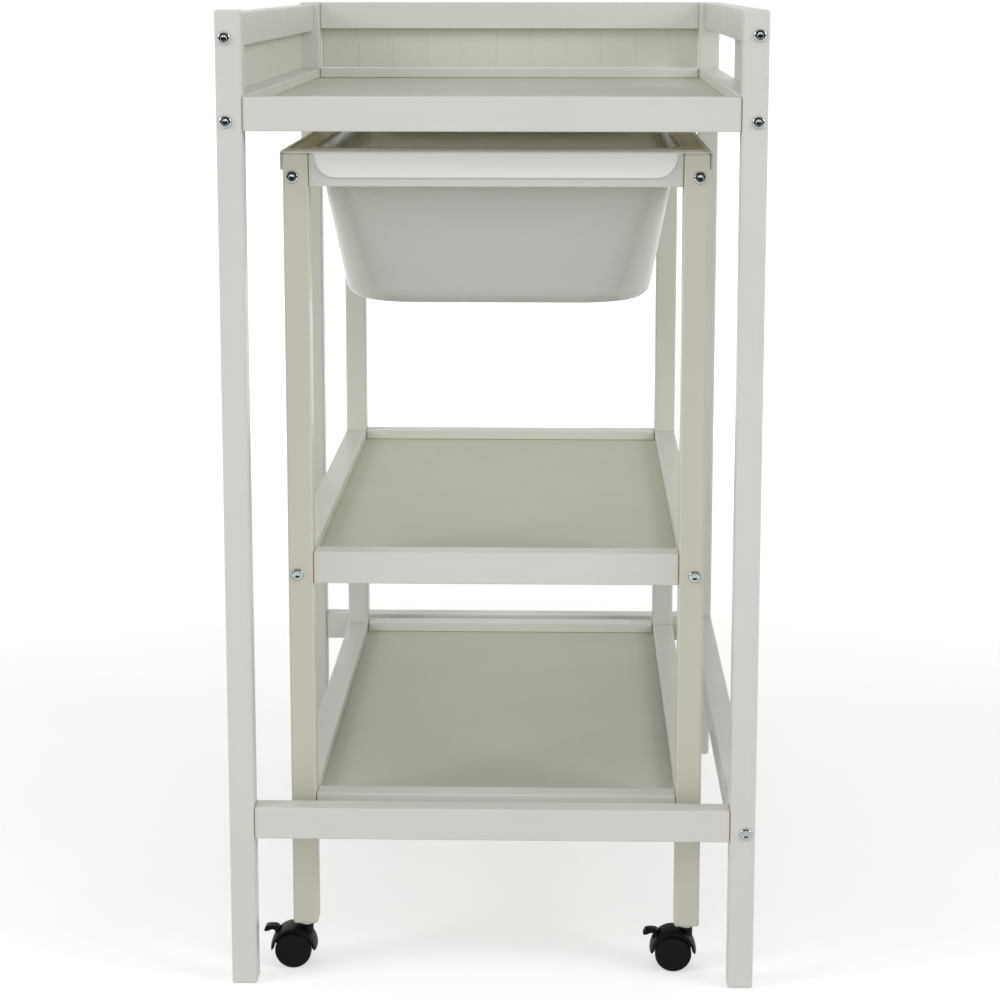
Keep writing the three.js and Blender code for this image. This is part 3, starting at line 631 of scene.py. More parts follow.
def plated_steel(name, colour):
    """Bright zinc plate: metal with faint clouding, brushed lines and a trace of blue."""
    material, tree, shader, place = start_material(name)
    metal = use_group(tree, "Plated Metal", Vector=place)
    blue = (colour[0] * 0.86, colour[1] * 0.94, colour[2] * 1.0, 1.0)
    tone = blended(tree, metal["Cloud"], shaded(colour, 1.05), blue)
    tree.links.new(tone, shader.inputs["Base Color"])
    shader.inputs["Metallic"].default_value = 1.0
    tree.links.new(ramp(tree, metal["Cloud"], 0.0, 1.0, 0.07, 0.13), shader.inputs["Roughness"])
    relief(tree, shader, metal["Brush"], 0.004 * MM)
    return material


# ---------------------------------------------------------------- bath


WALL_RINGS, FLOOR_RINGS = 9, 11
TUB_RINGS = WALL_RINGS + FLOOR_RINGS


def bath_columns(bath):
    """One quarter of a ring, from the middle of a long side to the middle of an end: the kind of stretch
    (0 side, 1 corner, 2 end), the place on it, and how deep the rim's edge hangs there.
    """
    straight_y = (BATH_HIGH[1] - BATH_LOW[1]) / 2 - bath.outer_corner
    straight_x = (BATH_HIGH[0] - BATH_LOW[0]) / 2 - bath.outer_corner
    turn = np.radians(np.linspace(0.0, 90.0, 7))
    side_end = straight_y - bath.side_corner
    side_run = np.linspace(0.0, side_end, 6)[:-1]
    side_place = np.concatenate([side_run, side_end + bath.side_corner * np.sin(turn)])
    side_rise = bath.side_corner * (1 - np.cos(turn))
    side_depth = np.concatenate([np.full(side_run.size, bath.side_depth), bath.side_depth - side_rise])
    corner = np.linspace(0.0, 90.0, 15)[1:]
    corner_depth = np.full(corner.size, bath.lip)
    lip_edge = bath.apron_half + bath.apron_fillet
    fillet = np.radians(np.linspace(90.0, 0.0, 6))
    knee = np.radians(np.linspace(90.0, 0.0, 16))
    end_place = np.concatenate(
        [
            np.linspace(straight_x, lip_edge, 4)[1:-1],
            lip_edge - bath.apron_fillet * np.cos(fillet),
            bath.apron_half - bath.apron_corner * (1 - np.sin(knee)),
            np.linspace(bath.apron_half - bath.apron_corner, 0.0, 7)[1:],
        ]
    )
    end_depth = np.concatenate(
        [
            np.full(2, bath.lip),
            bath.lip + bath.apron_fillet * (1 - np.sin(fillet)),
            bath.apron - bath.apron_corner * (1 - np.cos(knee)),
            np.full(6, bath.apron),
        ]
    )
    kind = np.concatenate([np.zeros(side_place.size), np.ones(corner.size), np.full(end_place.size, 2)])
    place = np.concatenate([side_place / straight_y, corner, end_place / straight_x])
    return kind, place, np.concatenate([side_depth, corner_depth, end_depth])


def bath_rings(bath):
    """Rings from the floor outside, up the tub, round the rim and apron and down the tub inside: half
    width, half length, corner radius, drop below the rim, and how the edge's depth acts on it.
    """
    half_x, half_y = (BATH_HIGH[:2] - BATH_LOW[:2]) / 2
    lean = bath.taper
    wall_drop = bath.depth - bath.floor_radius * (1 - math.sin(lean))

    def tub(offset):
        """The tub's wall and floor radius, offset outwards: a straight lean, then an arc to the floor."""
        part = np.linspace(0.0, 1.0, WALL_RINGS)
        drop = bath.mouth_roll + part * (wall_drop - bath.mouth_roll)
        corner = bath.mouth_corner + part * (bath.floor_corner - bath.mouth_corner)
        lean_x, lean_z = offset * math.cos(lean), offset * math.sin(lean)
        wall = [drop * math.tan(lean) - lean_x, drop + lean_z, corner + offset]
        turn = np.linspace(lean, math.pi / 2, FLOOR_RINGS + 1)[1:]
        middle = wall_drop * math.tan(lean) + bath.floor_radius * math.cos(lean)
        reach = bath.floor_radius + offset
        centre_drop = wall_drop - bath.floor_radius * math.sin(lean)
        foot = [middle - reach * np.cos(turn), centre_drop + reach * np.sin(turn), 0 * turn]
        foot[2] += bath.floor_corner + offset
        inset, drop, corner = (np.concatenate(pair) for pair in zip(wall, foot))
        mouth_x, mouth_y = half_x - bath.rim - inset, half_y - bath.rim - inset
        return np.stack([mouth_x, mouth_y, corner, drop, 0 * inset, 0 * inset], axis=1)

    def rim(inset_drop, fixed=1.0, edge=0.0):
        """Rings on the rim at (inset, drop): fixed ones are cut off at the edge's depth, edge ones follow
        it.
        """
        inset, drop = np.asarray(inset_drop).T
        corner = bath.outer_corner + (bath.mouth_corner - bath.outer_corner) * inset / bath.rim
        ways = [half_x - inset, half_y - inset, corner, drop, 0 * inset + fixed, 0 * inset + edge]
        return np.stack(ways, axis=1)

    roll, skin, soft = bath.rim_roll, bath.skirt_wall, bath.edge
    inner_roll = arc((roll, roll), roll - skin, -90, -180, 5)
    under = np.concatenate([[[bath.rim - bath.wall, bath.wall]], inner_roll])
    bottom = np.concatenate([arc((skin - soft, -soft), soft, 0, 90, 4), arc((soft, -soft), soft, 90, 180, 4)])
    over = arc((roll, roll), roll, 180, 270, 9)
    beads = [
        arc((middle, 0.0), bath.bead, 180, 360, 9) * (1.0, bath.bead_height / bath.bead)
        for middle in (bath.bead_inset, bath.rim - bath.mouth_roll - bath.bead)
    ]
    lip = bath.mouth_roll
    mouth = arc((bath.rim - lip, lip), lip, -90, 0, 8)[:-1]
    return np.concatenate(
        [
            tub(bath.wall)[::-1],
            rim(under),
            rim(bottom * (1.0, -1.0), 0.0, 1.0),
            rim(over),
            rim(np.concatenate(beads), 0.0),
            rim(mouth, 0.0),
            tub(0.0),
        ]
    )


def bath_points(bath):
    """All points of the bath, and how many rings at each end are tub: each ring is a rounded rectangle,
    side = t * (half length - corner), corner = an arc, end = t * (half width - corner), one quarter
    mirrored to four.
    """
    kind, place, depth = bath_columns(bath)
    half_x, half_y, corner, drop, cut, follow = bath_rings(bath).T[:, :, None]
    turn = np.radians(np.where(kind == 1, place, 0.0))
    flat_x, flat_y = half_x - corner, half_y - corner
    kinds = [kind == 0, kind == 1]
    x = np.select(kinds, [half_x + 0 * place, flat_x + corner * np.cos(turn)], place * flat_x)
    y = np.select(kinds, [place * flat_y, flat_y + corner * np.sin(turn)], half_y + 0 * place)
    hung = np.maximum(np.minimum(bath.rim_roll, depth), depth - drop)
    drop = np.where(follow > 0, hung, np.where(cut > 0, np.minimum(drop, depth), drop + 0 * depth))
    z = BATH_HIGH[2] - bath.bead_height - drop
    quarter = np.stack([x, y, z], axis=-1)
    back = quarter[:, ::-1]
    mirrored = [(back * (-1, 1, 1))[:, 1:], (quarter * (-1, -1, 1))[:, 1:], (back * (1, -1, 1))[:, 1:-1]]
    rings = np.concatenate([quarter, *mirrored], axis=1)
    spread = (0.25, 0.5, 0.75)
    outside = [rings[:1] * (part, part, 1.0) for part in spread]
    inside = [rings[-1:] * (part, part, 1.0) for part in spread[::-1]]
    centre = (*((BATH_HIGH + BATH_LOW) / 2)[:2], 0.0)
    return np.concatenate([*outside, rings, *inside]) + centre, len(spread) + TUB_RINGS


# ---------------------------------------------------------------- castors


def castor_axes(place):
    """The axle's middle and the stem's axis of a castor, from the packed solids."""
    low, high = low_high(f"castor_{place}_wheels")
    stem_low, stem_high = low_high(f"castor_{place}_stem")
    return (low + high) / 2, (stem_low + stem_high) / 2


def wheel_pair(castor):
    """Both wheels and their axle, turned from (radius, distance along the axle): a dished face, rounded
    edges and a flat tread.
    """
    radius, half, edge = castor.wheel_radius, castor.wheel_width / 2, castor.wheel_edge
    inner = castor.wheel_gap / 2
    face_radius = np.linspace(0.0, radius - edge, 9)[:-1]
    dish = castor.wheel_dish * (1 - (face_radius / (radius - edge)) ** 4)
    face = np.stack([face_radius, half - dish], axis=1)
    outer_edge = arc((radius - edge, half - edge), edge, 90, 0, 10)
    tread = np.stack([np.full(5, radius), np.linspace(half - edge, inner + edge, 7)[1:-1]], axis=1)
    inner_edge = arc((radius - edge, inner + edge), edge, 0, -90, 8)
    hub = [[castor.axle + 0.6 * MM, inner], [castor.axle, inner - 0.3 * MM], [castor.axle, 0.0]]
    right = np.concatenate([face, outer_edge, tread, inner_edge, hub])
    left = right[-2::-1] * (1, -1)
    return turned(np.concatenate([right, left]), 96, "y")


def hood_shells(castor):
    """The hood in the wheel's frame: a block of cells over (angle, width, radius), its crown an ellipse
    over the width and the brake's slot left empty, and two turned bosses.
    """
    well = castor.wheel_radius + castor.hood_gap
    half = castor.hood_width / 2
    tip_inside = castor.tip_height + castor.tip_rise
    slot_half = castor.lever_width / 2 + castor.slot_gap
    pivot = castor.lever_radius * np.array([math.cos(castor.lever_angle), math.sin(castor.lever_angle)])
    slot_right = pivot[0] + castor.lever_hub + castor.slot_gap + castor.hood_gap
    slot_low = pivot[1] - castor.lever_hub - castor.slot_gap
    outer = half * np.sin(np.linspace(math.asin(slot_half / half), math.pi / 2, 8))
    width = np.concatenate([[castor.web / 2], outer])
    width = np.concatenate([-width[::-1], np.linspace(-castor.web / 2, castor.web / 2, 5)[1:-1], width])
    bulge = np.sqrt(np.clip(1 - (width / half) ** 2, 0, 1))
    crown = castor.hood_edge + (castor.hood_crown - castor.hood_edge) * bulge
    levels = [castor.axle_boss - 0.8 * MM, castor.wheel_radius, well, None]
    stations = (0, 34, 46, 60)
    station = np.arange(stations[-1] + 1)
    columns = []
    for level in levels:
        radius = crown if level is None else np.full(width.size, level)
        end = castor.tip_height if level is None else tip_inside
        first = np.arcsin(end / radius)
        over_slot = np.maximum(radius, castor.wheel_radius)
        slot_start = np.arccos(slot_right / over_slot)
        slot_end = math.pi - np.arcsin(slot_low / over_slot)
        knots = np.stack([first, slot_start, slot_end, math.pi - first])
        turn = np.stack([np.interp(station, stations, knot) for knot in knots.T], axis=1)
        columns.append(np.stack([radius * np.cos(turn), width + 0 * turn, radius * np.sin(turn)], axis=-1))
    points = np.stack(columns, axis=2)
    middle = (width[1:] + width[:-1]) / 2
    web = (np.abs(middle) < castor.web / 2)[None, :, None]
    level_cell = np.arange(3)[None, None, :]
    station_cell = np.arange(station.size - 1)[:, None, None]
    over = (np.abs(middle) < slot_half)[None, :, None]
    in_slot = over & (station_cell >= stations[1]) & (station_cell < stations[2]) & (level_cell > 0)
    solid = ((level_cell == 2) | web) & ~in_slot
    hood = skin_of_cells(points, solid)

    boss_half = castor.web / 2 + RUNNING_GAP
    soft = 0.4 * MM
    ring = [[castor.axle + RUNNING_GAP, -boss_half], [castor.axle_boss - soft, -boss_half]]
    ring = np.array(ring + [[castor.axle_boss, soft - boss_half]])
    axle_boss = hoop(around(np.concatenate([ring, ring[::-1] * (1, -1), ring[:1]]), 48, "y"))
    return hood, axle_boss, stem_boss(castor)


def stem_boss(castor):
    """The boss round the stem: a ring with a rounded top, whose wall ends 1.5 mm inside the crown's
    circle.
    """
    top = castor.boss_top - castor.wheel_radius
    bore = castor.stem + RUNNING_GAP
    soft = 0.9 * MM
    rounded = arc((castor.boss - soft, top - soft), soft, 90, 0, 6)
    foot = [[castor.boss, 0.0], [castor.boss * 0.75, 0.0]]
    points = around(np.concatenate([[[bore, top - 11.0 * MM], [bore, top]], rounded, foot]), 64)
    points[..., 0] += castor.trail
    sunk = np.sqrt(np.maximum((castor.hood_crown - 1.5 * MM) ** 2 - points[-2:, :, 0] ** 2, 0.0))
    points[-2:, :, 2] = np.minimum(sunk, top - 4.0 * MM)
    return hoop(np.concatenate([points, points[:1]]))


# the lever's upper and lower outline, as shares of its reach and rise
LEVER_TOP = [(-0.16, 0.43), (0.0, 0.84), (0.2, 0.96), (0.49, 1.0), (0.77, 0.95), (0.93, 0.84), (1.0, 0.62)]
LEVER_UNDER = [(0.1, -0.12), (0.23, 0.2), (0.34, 0.42), (0.5, 0.46), (0.68, 0.34), (0.85, 0.25), (0.975, 0.25)]


def lever_shells(castor):
    """The brake lever in its pivot's frame: a rounded rectangle between two curves, from the hub to a
    closed tip, with a hub that has a cam, and its pin.
    """
    size = np.array([-castor.lever_reach, castor.lever_rise])
    count = 40
    top, under = (smooth_through(points, count) * size for points in (LEVER_TOP, LEVER_UNDER))
    half = castor.lever_width / 2
    middle, across = (top + under) / 2, top - under
    rise = np.linalg.norm(across, axis=1, keepdims=True) / 2
    along = np.gradient(middle, axis=0)
    along /= np.linalg.norm(along, axis=1, keepdims=True)
    close = np.radians([25.0, 50.0, 72.0, 88.0])[:, None]
    middle = np.concatenate([middle, middle[-1:] + along[-1:] * rise[-1:] * np.sin(close)])
    rise = np.concatenate([rise, rise[-1:] * np.cos(close)])
    up = across / np.linalg.norm(across, axis=1, keepdims=True)
    up = np.concatenate([up, np.repeat(up[-1:], close.size, axis=0)])
    width = np.concatenate([np.full((count, 1), half), half - rise[count - 1] * (1 - np.cos(close))])
    quarter = np.linspace(0.0, 90.0, 5)
    turn = np.radians(np.concatenate([quarter, quarter + 90, quarter + 180, quarter + 270]))
    side = np.repeat([1, -1, -1, 1], 5)
    level = np.repeat([1, 1, -1, -1], 5)
    soft = np.minimum(0.9 * MM, rise * 0.8)
    y = side * (width - soft) + soft * np.cos(turn)
    lift = level * (rise - soft) + soft * np.sin(turn)
    points = np.stack([middle[:, :1] + up[:, :1] * lift, y, middle[:, 1:] + up[:, 1:] * lift], axis=-1)
    soft = 0.4 * MM
    hub = np.concatenate([[[0.0, -half]], arc((castor.lever_hub - soft, soft - half), soft, -90, 0, 4)])
    hub = np.concatenate([hub, hub[::-1] * (1, -1)])
    pin_half = castor.pin_length / 2
    pin = np.array([[0.0, -pin_half], [castor.pin - 0.2 * MM, -pin_half], [castor.pin, 0.2 * MM - pin_half]])
    pin = np.concatenate([pin, pin[::-1] * (1, -1)])

    def cam(turn):
        """The hub's swell towards the wheels: 1 + 0.17 * the eighth power of a cosine."""
        return 1 + 0.17 * np.clip(np.cos(turn + castor.lever_angle / 4), 0, 1) ** 8

    return shell(points), turned(hub, 48, "y", cam), turned(pin, 24, "y")


def sleeve_shell(castor, low, high):
    """The sleeve in the leg: a tube with a rounded collar at its foot, a closed loop turned about the
    stem.
    """
    bore = castor.stem + RUNNING_GAP
    outer = bore + 1.2 * MM
    collar = (high[0] - low[0]) / 2
    soft = 0.5 * MM
    collar_top = low[2] + 3.1 * MM
    loop = np.concatenate(
        [
            [[bore, low[2]]],
            arc((collar - soft, low[2] + soft), soft, -90, 0, 5),
            arc((collar - soft, collar_top - soft), soft, 0, 90, 5),
            [[outer, collar_top], [outer, high[2]], [bore, high[2]], [bore, low[2]]],
        ]
    )
    return hoop(around(loop, 64))


# ---------------------------------------------------------------- bolts


def bolt_points(bolt):
    """A round-headed bolt along Z: turned rings for the shank, dome and flat, then the socket's hexagon,
    radius = half the flats / cos of the angle from the nearest flat's middle.
    """
    turn = np.linspace(0.0, 2.0 * math.pi, bolt.sides, endpoint=False)
    sixth = math.pi / 3
    hexagon = (bolt.socket / 2) / np.cos((turn + sixth / 2) % sixth - sixth / 2)
    soft = 0.4 * MM
    tip = -bolt.shank_length
    shank = [[bolt.shank * 0.75, tip]] + [[bolt.shank, z] for z in (tip + 0.8 * MM, -0.4 * MM, 0.0)]
    rim = arc((bolt.head - soft, soft), soft, -90, 20, 5)
    sweep = np.radians(np.linspace(6.0, 90.0, 14))[:, None]
    start = rim[-1]
    rise = bolt.height - start[1]
    dome = np.concatenate(
        [bolt.flat + (start[0] - bolt.flat) * np.cos(sweep), start[1] + rise * np.sin(sweep)], axis=1
    )
    mouth = bolt.socket / 2 * 1.24
    flat = np.array([[bolt.flat - 0.15 * MM, bolt.height], [mouth, bolt.height]])
    round_rings = np.concatenate([shank, rim, dome, flat])
    depths = np.array([0.35, 0.6, 1.9]) * MM
    depths = np.concatenate([depths, [bolt.socket_depth - 0.25 * MM, bolt.socket_depth]])
    sizes = np.array([1.0, 1.0, 1.0, 0.96, 0.55])[:, None]
    radius = np.concatenate([round_rings[:, :1] + 0 * turn, sizes * hexagon])
    height = np.concatenate([round_rings[:, 1:], bolt.height - depths[:, None]]) + 0 * turn
    return np.stack([radius * np.cos(turn), radius * np.sin(turn), height], axis=-1)


def bolt_places(bolt):
    """Every bolt as (name, body, axis x, face y, axis z, end): one at each end of each side rail."""
    holders = [(f"{kind}_rail", TABLE_BODY, "table_post") for kind in ("guard", "tray")]
    holders += [(f"trolley_{level}_rail", TROLLEY_BODY, "trolley_leg") for level in TROLLEY_LEVELS]
    rails = [(f"{rail}_{side}", body, post, side) for rail, body, post in holders for side in SIDES]
    rails.insert(4, ("stretcher_right", TABLE_BODY, "table_post", "right"))
    places = []
    for rail, body, post, side in rails:
        for end in ENDS:
            low, high = low_high(f"{post}_{end}_{side}")
            x = high[0] - bolt.inset if side == "right" else low[0] + bolt.inset
            y = high[1] if end == "far" else low[1]
            z = low_high(rail)[0][2] + bolt.rise
            places.append((f"bolt_{rail}_{end}", body, x, y, z, 1.0 if end == "far" else -1.0))
    return places


# ---------------------------------------------------------------- operators


def give(node, material):
    """Puts a material into every slot of a packed solid's object."""
    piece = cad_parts[node]
    for slot in piece.material_slots:
        slot.link = "OBJECT"
        slot.material = material


def crack(rails, board):
    """The corners of a thin band just above a board, as wide and long as the room in its four rails."""
    near, right, far, left = (low_high(f"{rails}_{side}") for side in ("near", "right", "far", "left"))
    top = low_high(board)[1][2]
    low = np.array([left[1][0] - CATCH, near[1][1] - CATCH, top - MM])
    return low, np.array([right[0][0] + CATCH, far[0][1] + CATCH, top + CRACK_HEIGHT])


class NURSERY_OT_lacquer_timber(bpy.types.Operator):
    """Lacquers the posts, legs, rails, boards and panels, with the grain along each piece"""

    bl_idname = "nursery.lacquer_timber"
    bl_label = "Lacquer the timber"

    def execute(self, context):
        timber = context.scene.nursery_timber
        white, cream, board, panel = map(tuple, (timber.white, timber.cream, timber.board, timber.panel))
        pale = tuple((white[i] * 3 + cream[i]) / 4 for i in range(3))
        white_post = lacquer("White lacquer, upright", white, "z", timber)
        legs = {
            "near": lacquer("Cream lacquer, upright", cream, "z", timber),
            "far": lacquer("Pale cream lacquer, upright", pale, "z", timber),
        }
        for end in ENDS:
            for side in SIDES:
                give(f"table_post_{end}_{side}", white_post)
                give(f"trolley_leg_{end}_{side}", legs[end])
        across = ["tray_rail_near", "tray_rail_far", "guard_rail_far", "stretcher_near", "stretcher_far"]
        along = [f"{kind}_rail_{side}" for kind in ("tray", "guard") for side in SIDES] + ["stretcher_right"]
        families = [("Table", across, along, crack("tray_rail", "tray_board"))]
        for level in TROLLEY_LEVELS:
            rail = f"trolley_{level}_rail"
            gap = None if level == "top" else crack(rail, f"trolley_{level}_board")
            ends, sides = ([f"{rail}_{place}" for place in places] for places in (ENDS, SIDES))
            families.append((f"Trolley {level}", ends, sides, gap))
        for title, across, along, gap in families:
            for axis, way, rails in ((0, "across", across), (1, "along", along)):
                low, high = (corner[axis] for corner in low_high(rails[0]))
                joint = ((high - low) / 2, (high + low) / 2)
                material = lacquer(f"{title} rails {way}", white, "xy"[axis], timber, joint, bare=gap)
                for rail in rails:
                    give(rail, material)
        for node in ["tray_board"] + [f"trolley_{level}_board" for level in TROLLEY_LEVELS[1:]]:
            low, high = low_high(node)
            under = (low - MM, np.array([high[0] + MM, high[1] + MM, low[2] + CATCH]))
            flat = {"figured": 0.3, "mottle": 0.3, "dull": 0.25, "bare": under if node == "tray_board" else None}
            give(node, lacquer(f"Board paint, {node}", board, "y", timber, **flat))
        for side in ("left", "right", "far"):
            low, high = low_high(f"guard_panel_{side}")
            rail_low = low_high(f"guard_rail_{side}")[0][2]
            top = (np.array([low[0], low[1], rail_low]) - MM, high + MM)
            flat = {"figured": 0.3, "mottle": 0.3, "dull": 0.1, "bare": top}
            give(f"guard_panel_{side}", lacquer(f"Panel paint, {side}", panel, "z", timber, **flat))
        return {"FINISHED"}


class NURSERY_OT_mould_bath(bpy.types.Operator):
    """Moulds the bath with its beaded rim and curved aprons"""

    bl_idname = "nursery.mould_bath"
    bl_label = "Mould the bath"

    def execute(self, context):
        bath = context.scene.nursery_bath
        finish = (bath.roughness, 0.012 * MM, 1500.0, 0.12)
        rim = plastic("Bath plastic, rim", tuple(bath.colour), *finish)
        # painted warm shade: the tub gets a yellower copy of the rim's white; the light through its thin wall is
        # real subsurface scattering
        tub = plastic("Bath plastic, tub with painted warm shade", tuple(bath.thin), *finish)
        shader = tub.node_tree.nodes["Principled BSDF"]
        shader.inputs["Subsurface Weight"].default_value = bath.milk
        shader.inputs["Subsurface Radius"].default_value = (0.92, 0.90, 0.80)
        shader.inputs["Subsurface Scale"].default_value = bath.milk_depth
        points, tub_rows = bath_points(bath)
        skin = shell(points)
        row = np.arange(len(skin[1])) // points.shape[1]
        piece = make_piece("bath_shell", [skin], rim, "bath", ["bath_tub"], zone=row)
        piece.data.materials.append(tub)
        last = len(points) - tub_rows
        rows = np.zeros(len(piece.data.polygons), int)
        piece.data.attributes["zone"].data.foreach_get("value", rows)
        on_tub = (rows < tub_rows) | (rows > last)
        piece.data.polygons.foreach_set("material_index", on_tub.astype(np.int32))
        piece.data.attributes.remove(piece.data.attributes["zone"])
        return {"FINISHED"}


class NURSERY_OT_turn_wheels(bpy.types.Operator):
    """Turns the four pairs of castor wheels"""

    bl_idname = "nursery.turn_wheels"
    bl_label = "Turn the wheels"

    def execute(self, context):
        castor = context.scene.nursery_castor
        material = nylon(castor)
        for place in CORNERS:
            axle, _ = castor_axes(place)
            node = f"castor_{place}_wheels"
            pair = placed(wheel_pair(castor), axle)
            name, body = f"castor_{place}_wheel_pair", f"wheels_{place}"
            make_piece(name, [pair], material, body, [node])
        return {"FINISHED"}


class NURSERY_OT_mould_hoods(bpy.types.Operator):
    """Moulds the four castor hoods with their webs and bosses"""

    bl_idname = "nursery.mould_hoods"
    bl_label = "Mould the hoods"

    def execute(self, context):
        castor = context.scene.nursery_castor
        material = nylon(castor)
        for place in CORNERS:
            axle, _ = castor_axes(place)
            parts = [placed(part, axle) for part in hood_shells(castor)]
            node = f"castor_{place}_housing"
            body = f"castor_{place}"
            piece = make_piece(f"{body}_hood", parts, material, body, [node])
            round_edges(piece, 0.35 * MM)
        return {"FINISHED"}


class NURSERY_OT_mould_levers(bpy.types.Operator):
    """Moulds the four brake levers with their hubs and pins"""

    bl_idname = "nursery.mould_levers"
    bl_label = "Mould the brake levers"

    def execute(self, context):
        castor = context.scene.nursery_castor
        material = nylon(castor)
        for place in CORNERS:
            axle, _ = castor_axes(place)
            way = np.array([math.cos(castor.lever_angle), 0.0, math.sin(castor.lever_angle)])
            pivot = axle + way * castor.lever_radius
            parts = [placed(part, pivot) for part in lever_shells(castor)]
            node = f"castor_{place}_brake"
            make_piece(f"castor_{place}_lever", parts, material, f"brake_{place}", [node])
        return {"FINISHED"}


class NURSERY_OT_fit_stems(bpy.types.Operator):
    """Fits the steel stems and the pale sleeves that carry the castors"""

    bl_idname = "nursery.fit_stems"
    bl_label = "Fit the stems and sleeves"

    def execute(self, context):
        castor, bolt = context.scene.nursery_castor, context.scene.nursery_bolt
        steel = steel_of(bolt)
        sleeve = plastic("Sleeve plastic", tuple(castor.sleeve), 0.35, 0.008 * MM, 1600.0, 0.1)
        for place in CORNERS:
            low, high = low_high(f"castor_{place}_stem")
            middle = (*((low + high) / 2)[:2], 0.0)
            soft = 0.6 * MM
            foot = arc((castor.stem - soft, low[2] + soft), soft, -90, 0, 4)
            head = arc((castor.stem - soft, high[2] - soft), soft, 0, 90, 4)
            pin = placed(turned(np.concatenate([foot, head]), 48), middle)
            node = f"castor_{place}_stem"
            make_piece(f"castor_{place}_steel_stem", [pin], steel, f"castor_{place}", [node])
            low, high = low_high(f"castor_{place}_socket")
            tube = placed(sleeve_shell(castor, low, high), middle)
            node = f"castor_{place}_socket"
            make_piece(f"castor_{place}_sleeve", [tube], sleeve, TROLLEY_BODY, [node])
        return {"FINISHED"}


class NURSERY_OT_drive_bolts(bpy.types.Operator):
    """Drives a round-headed bolt into both ends of every side rail"""

    bl_idname = "nursery.drive_bolts"
    bl_label = "Drive the bolts"

    def execute(self, context):
        bolt = context.scene.nursery_bolt
        steel = steel_of(bolt)
        points = bolt_points(bolt)
        for name, body, x, y, z, out in bolt_places(bolt):
            standing = np.stack([points[..., 0], out * points[..., 2], points[..., 1]], axis=-1)
            make_piece(name, [shell(standing + (x, y, z))], steel, body, crease=28.0)
        return {"FINISHED"}


class NURSERY_OT_set_stage(bpy.types.Operator):
    """Sets the floor, the light and the camera"""

    bl_idname = "nursery.set_stage"
    bl_label = "Set the stage"

    def execute(self, context):
        stage = context.scene.nursery_stage
        scene = context.scene
        scene.view_settings.view_transform = "Standard"
        lay_floor(stage)
        light_room(scene, stage)
        hang_lamps(stage)
        hang_card(stage)
        set_camera(scene, stage)
        return {"FINISHED"}


def nylon(castor):
    """The black nylon of the castors, made once."""
    name = "Black nylon"
    found = bpy.data.materials.get(name)
    if found:
        return found
    worn = (0.02, 0.02, 0.018)
    return plastic(name, tuple(castor.nylon), castor.roughness, 0.03 * MM, 1400.0, 0.3, worn, 0.15)


def steel_of(bolt):
    """The zinc-plated steel of the bolts and stems, made once."""
    name = "Zinc plate"
    return bpy.data.materials.get(name) or plated_steel(name, tuple(bolt.steel))


def seen_plainly(tree):
    """1 where the camera, glossy or transmitted rays look, so that metal shows what the camera shows."""
    path = tree.nodes.new("ShaderNodeLightPath").outputs
    through = figure(tree, "MAXIMUM", path["Is Glossy Ray"], path["Is Transmission Ray"])
    return figure(tree, "MAXIMUM", path["Is Camera Ray"], through)


def lay_floor(stage):
    """A wide floor below the feet; the camera sees it lifted to white, except in the object's shade."""
    corners = np.array([[-1, -1], [1, -1], [1, 1], [-1, 1]]) * FLOOR_REACH
    mesh = bpy.data.meshes.new("studio_floor")
    mesh.from_pydata([(x, y, -FLOOR_DROP) for x, y in corners.tolist()], [], [(0, 1, 2, 3)])
    material, tree, shader, place = start_material("Studio floor")
    grain = noise(tree, place, 300.0, 2.0, 0.5)
    tone = blended(tree, grain, shaded(stage.floor, 0.995), shaded(stage.floor, 1.005))
    tree.links.new(tone, shader.inputs["Base Color"])
    shader.inputs["Roughness"].default_value = 0.9
    shader.inputs["Specular IOR Level"].default_value = 0.0
    away = wire(tree, "ShaderNodeVectorMath", {"operation": "LENGTH"})
    tree.links.new(place, away.inputs[0])
    lift = ramp(tree, away.outputs["Value"], 0.9, 3.2, stage.floor_lift, 1.0)
    glow = figure(tree, "MULTIPLY", seen_plainly(tree), lift)
    tree.links.new(glow, shader.inputs["Emission Color"])
    shader.inputs["Emission Strength"].default_value = 1.0
    mesh.materials.append(material)
    floor = bpy.data.objects.new("studio_floor", mesh)
    bpy.context.scene.collection.objects.link(floor)


def light_room(scene, stage):
    """Even light from all round, which the camera, metal and clear plastic see as white."""
    world = bpy.data.worlds.new("Studio")
    world.use_nodes = True
    scene.world = world
    tree = world.node_tree
    tree.nodes.clear()
    strength = figure(tree, "MULTIPLY_ADD", seen_plainly(tree), 1.0 - stage.fill, stage.fill)
    sky = wire(tree, "ShaderNodeBackground", None, Color=(1.0, 1.0, 1.0, 1.0), Strength=strength)
    out = tree.nodes.new("ShaderNodeOutputWorld")
    tree.links.new(sky.outputs[0], out.inputs[0])


def hang_lamps(stage):
    """Three soft lamps turned to the object's middle; shiny parts don't show the front one."""
    middle = Vector((0.0, 0.0, 0.5))
    lamps = (
        ("Left softbox", -stage.lamp_turn, stage.lamp_rise, stage.lamp, True),
        ("Right softbox", stage.lamp_turn, stage.lamp_rise, stage.lamp, True),
        ("Front softbox", 0.0, stage.front_rise, stage.front_lamp, False),
    )
    for name, turn, rise, power, mirrored in lamps:
        lamp = bpy.data.lights.new(name, "AREA")
        lamp.shape = "SQUARE"
        lamp.size = stage.lamp_size
        lamp.energy = power
        holder = bpy.data.objects.new(name, lamp)
        holder.visible_glossy = mirrored
        bpy.context.scene.collection.objects.link(holder)
        level = math.cos(rise)
        way = Vector((math.sin(turn) * level, -math.cos(turn) * level, math.sin(rise)))
        holder.location = middle + way * stage.lamp_reach
        holder.rotation_euler = way.to_track_quat("Z", "Y").to_euler()


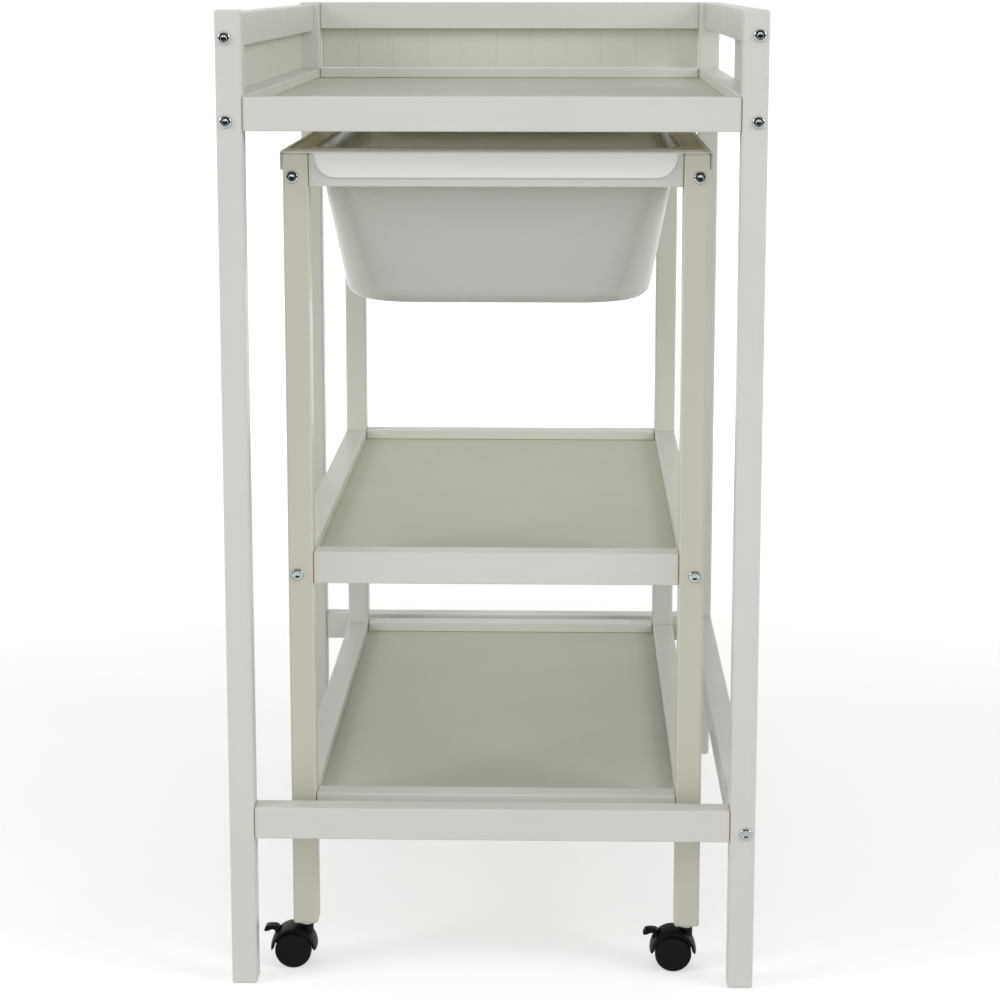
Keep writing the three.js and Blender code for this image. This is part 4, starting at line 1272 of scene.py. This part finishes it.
def hang_card(stage):
    """A dark card behind the camera, which only shiny parts show, as they do a studio's dark side."""
    half = stage.card_size / 2
    mesh = bpy.data.meshes.new("dark_card")
    corners = [(-half, 0.0), (half, 0.0), (half, half), (-half, half)]
    mesh.from_pydata([(x, -stage.card_reach, z) for x, z in corners], [], [(3, 2, 1, 0)])
    material, tree, shader, place = start_material("Dark card")
    felt = noise(tree, place, 900.0, 2.0, 0.6)
    tone = blended(tree, felt, (0.015, 0.015, 0.015, 1.0), (0.03, 0.03, 0.03, 1.0))
    tree.links.new(tone, shader.inputs["Base Color"])
    shader.inputs["Roughness"].default_value = 0.9
    mesh.materials.append(material)
    card = bpy.data.objects.new("dark_card", mesh)
    card.visible_camera = False
    card.visible_diffuse = False
    card.visible_shadow = False
    bpy.context.scene.collection.objects.link(card)


def set_camera(scene, stage):
    """The photographer's view: from in front, above the tray and a little to the right."""
    data = bpy.data.cameras.new("Camera")
    data.sensor_width = 36.0
    data.lens = stage.lens
    data.shift_x, data.shift_y = stage.shift
    data.clip_start, data.clip_end = 0.05, 100.0
    camera = bpy.data.objects.new("Camera", data)
    scene.collection.objects.link(camera)
    camera.location = stage.camera_place
    camera.rotation_euler = (math.pi / 2 - stage.camera_pitch, 0.0, stage.camera_turn)
    scene.camera = camera


# ---------------------------------------------------------------- add-on

SETTINGS = {
    "nursery_timber": TimberSettings,
    "nursery_bath": BathSettings,
    "nursery_castor": CastorSettings,
    "nursery_bolt": BoltSettings,
    "nursery_stage": StageSettings,
}
OPERATORS = (
    NURSERY_OT_lacquer_timber,
    NURSERY_OT_mould_bath,
    NURSERY_OT_turn_wheels,
    NURSERY_OT_mould_hoods,
    NURSERY_OT_mould_levers,
    NURSERY_OT_fit_stems,
    NURSERY_OT_drive_bolts,
    NURSERY_OT_set_stage,
)


class NURSERY_PT_changing_table(bpy.types.Panel):
    """Lists the steps that finish the changing table"""

    bl_idname = "NURSERY_PT_changing_table"
    bl_label = "Changing table"
    bl_space_type = "VIEW_3D"
    bl_region_type = "UI"
    bl_category = "Nursery"

    def draw(self, context):
        for operator in OPERATORS:
            self.layout.operator(operator.bl_idname)
        for holder, group in SETTINGS.items():
            box = self.layout.box()
            box.label(text=group.__doc__)
            for key in group.__annotations__:
                box.prop(getattr(context.scene, holder), key)


CLASSES = (*SETTINGS.values(), *OPERATORS, NURSERY_PT_changing_table)
GROUPS = (
    timber_grain_group,
    spray_coat_group,
    joint_line_group,
    moulded_skin_group,
    plated_metal_group,
)


def register():
    """Registers the classes and hangs the settings on the scene."""
    for each in CLASSES:
        bpy.utils.register_class(each)
    for holder, group in SETTINGS.items():
        setattr(bpy.types.Scene, holder, PointerProperty(type=group))


def unregister():
    """Takes the settings and the classes away again."""
    for holder in SETTINGS:
        delattr(bpy.types.Scene, holder)
    for each in reversed(CLASSES):
        bpy.utils.unregister_class(each)


def main():
    """Builds the node groups and runs every step in order."""
    register()
    for build in GROUPS:
        build()
    for step in OPERATORS:
        call = getattr(bpy.ops.nursery, step.bl_idname.split(".")[1])
        if call() != {"FINISHED"}:
            raise RuntimeError(f"{step.bl_label} did not finish")


if __name__ == "__main__":
    main()
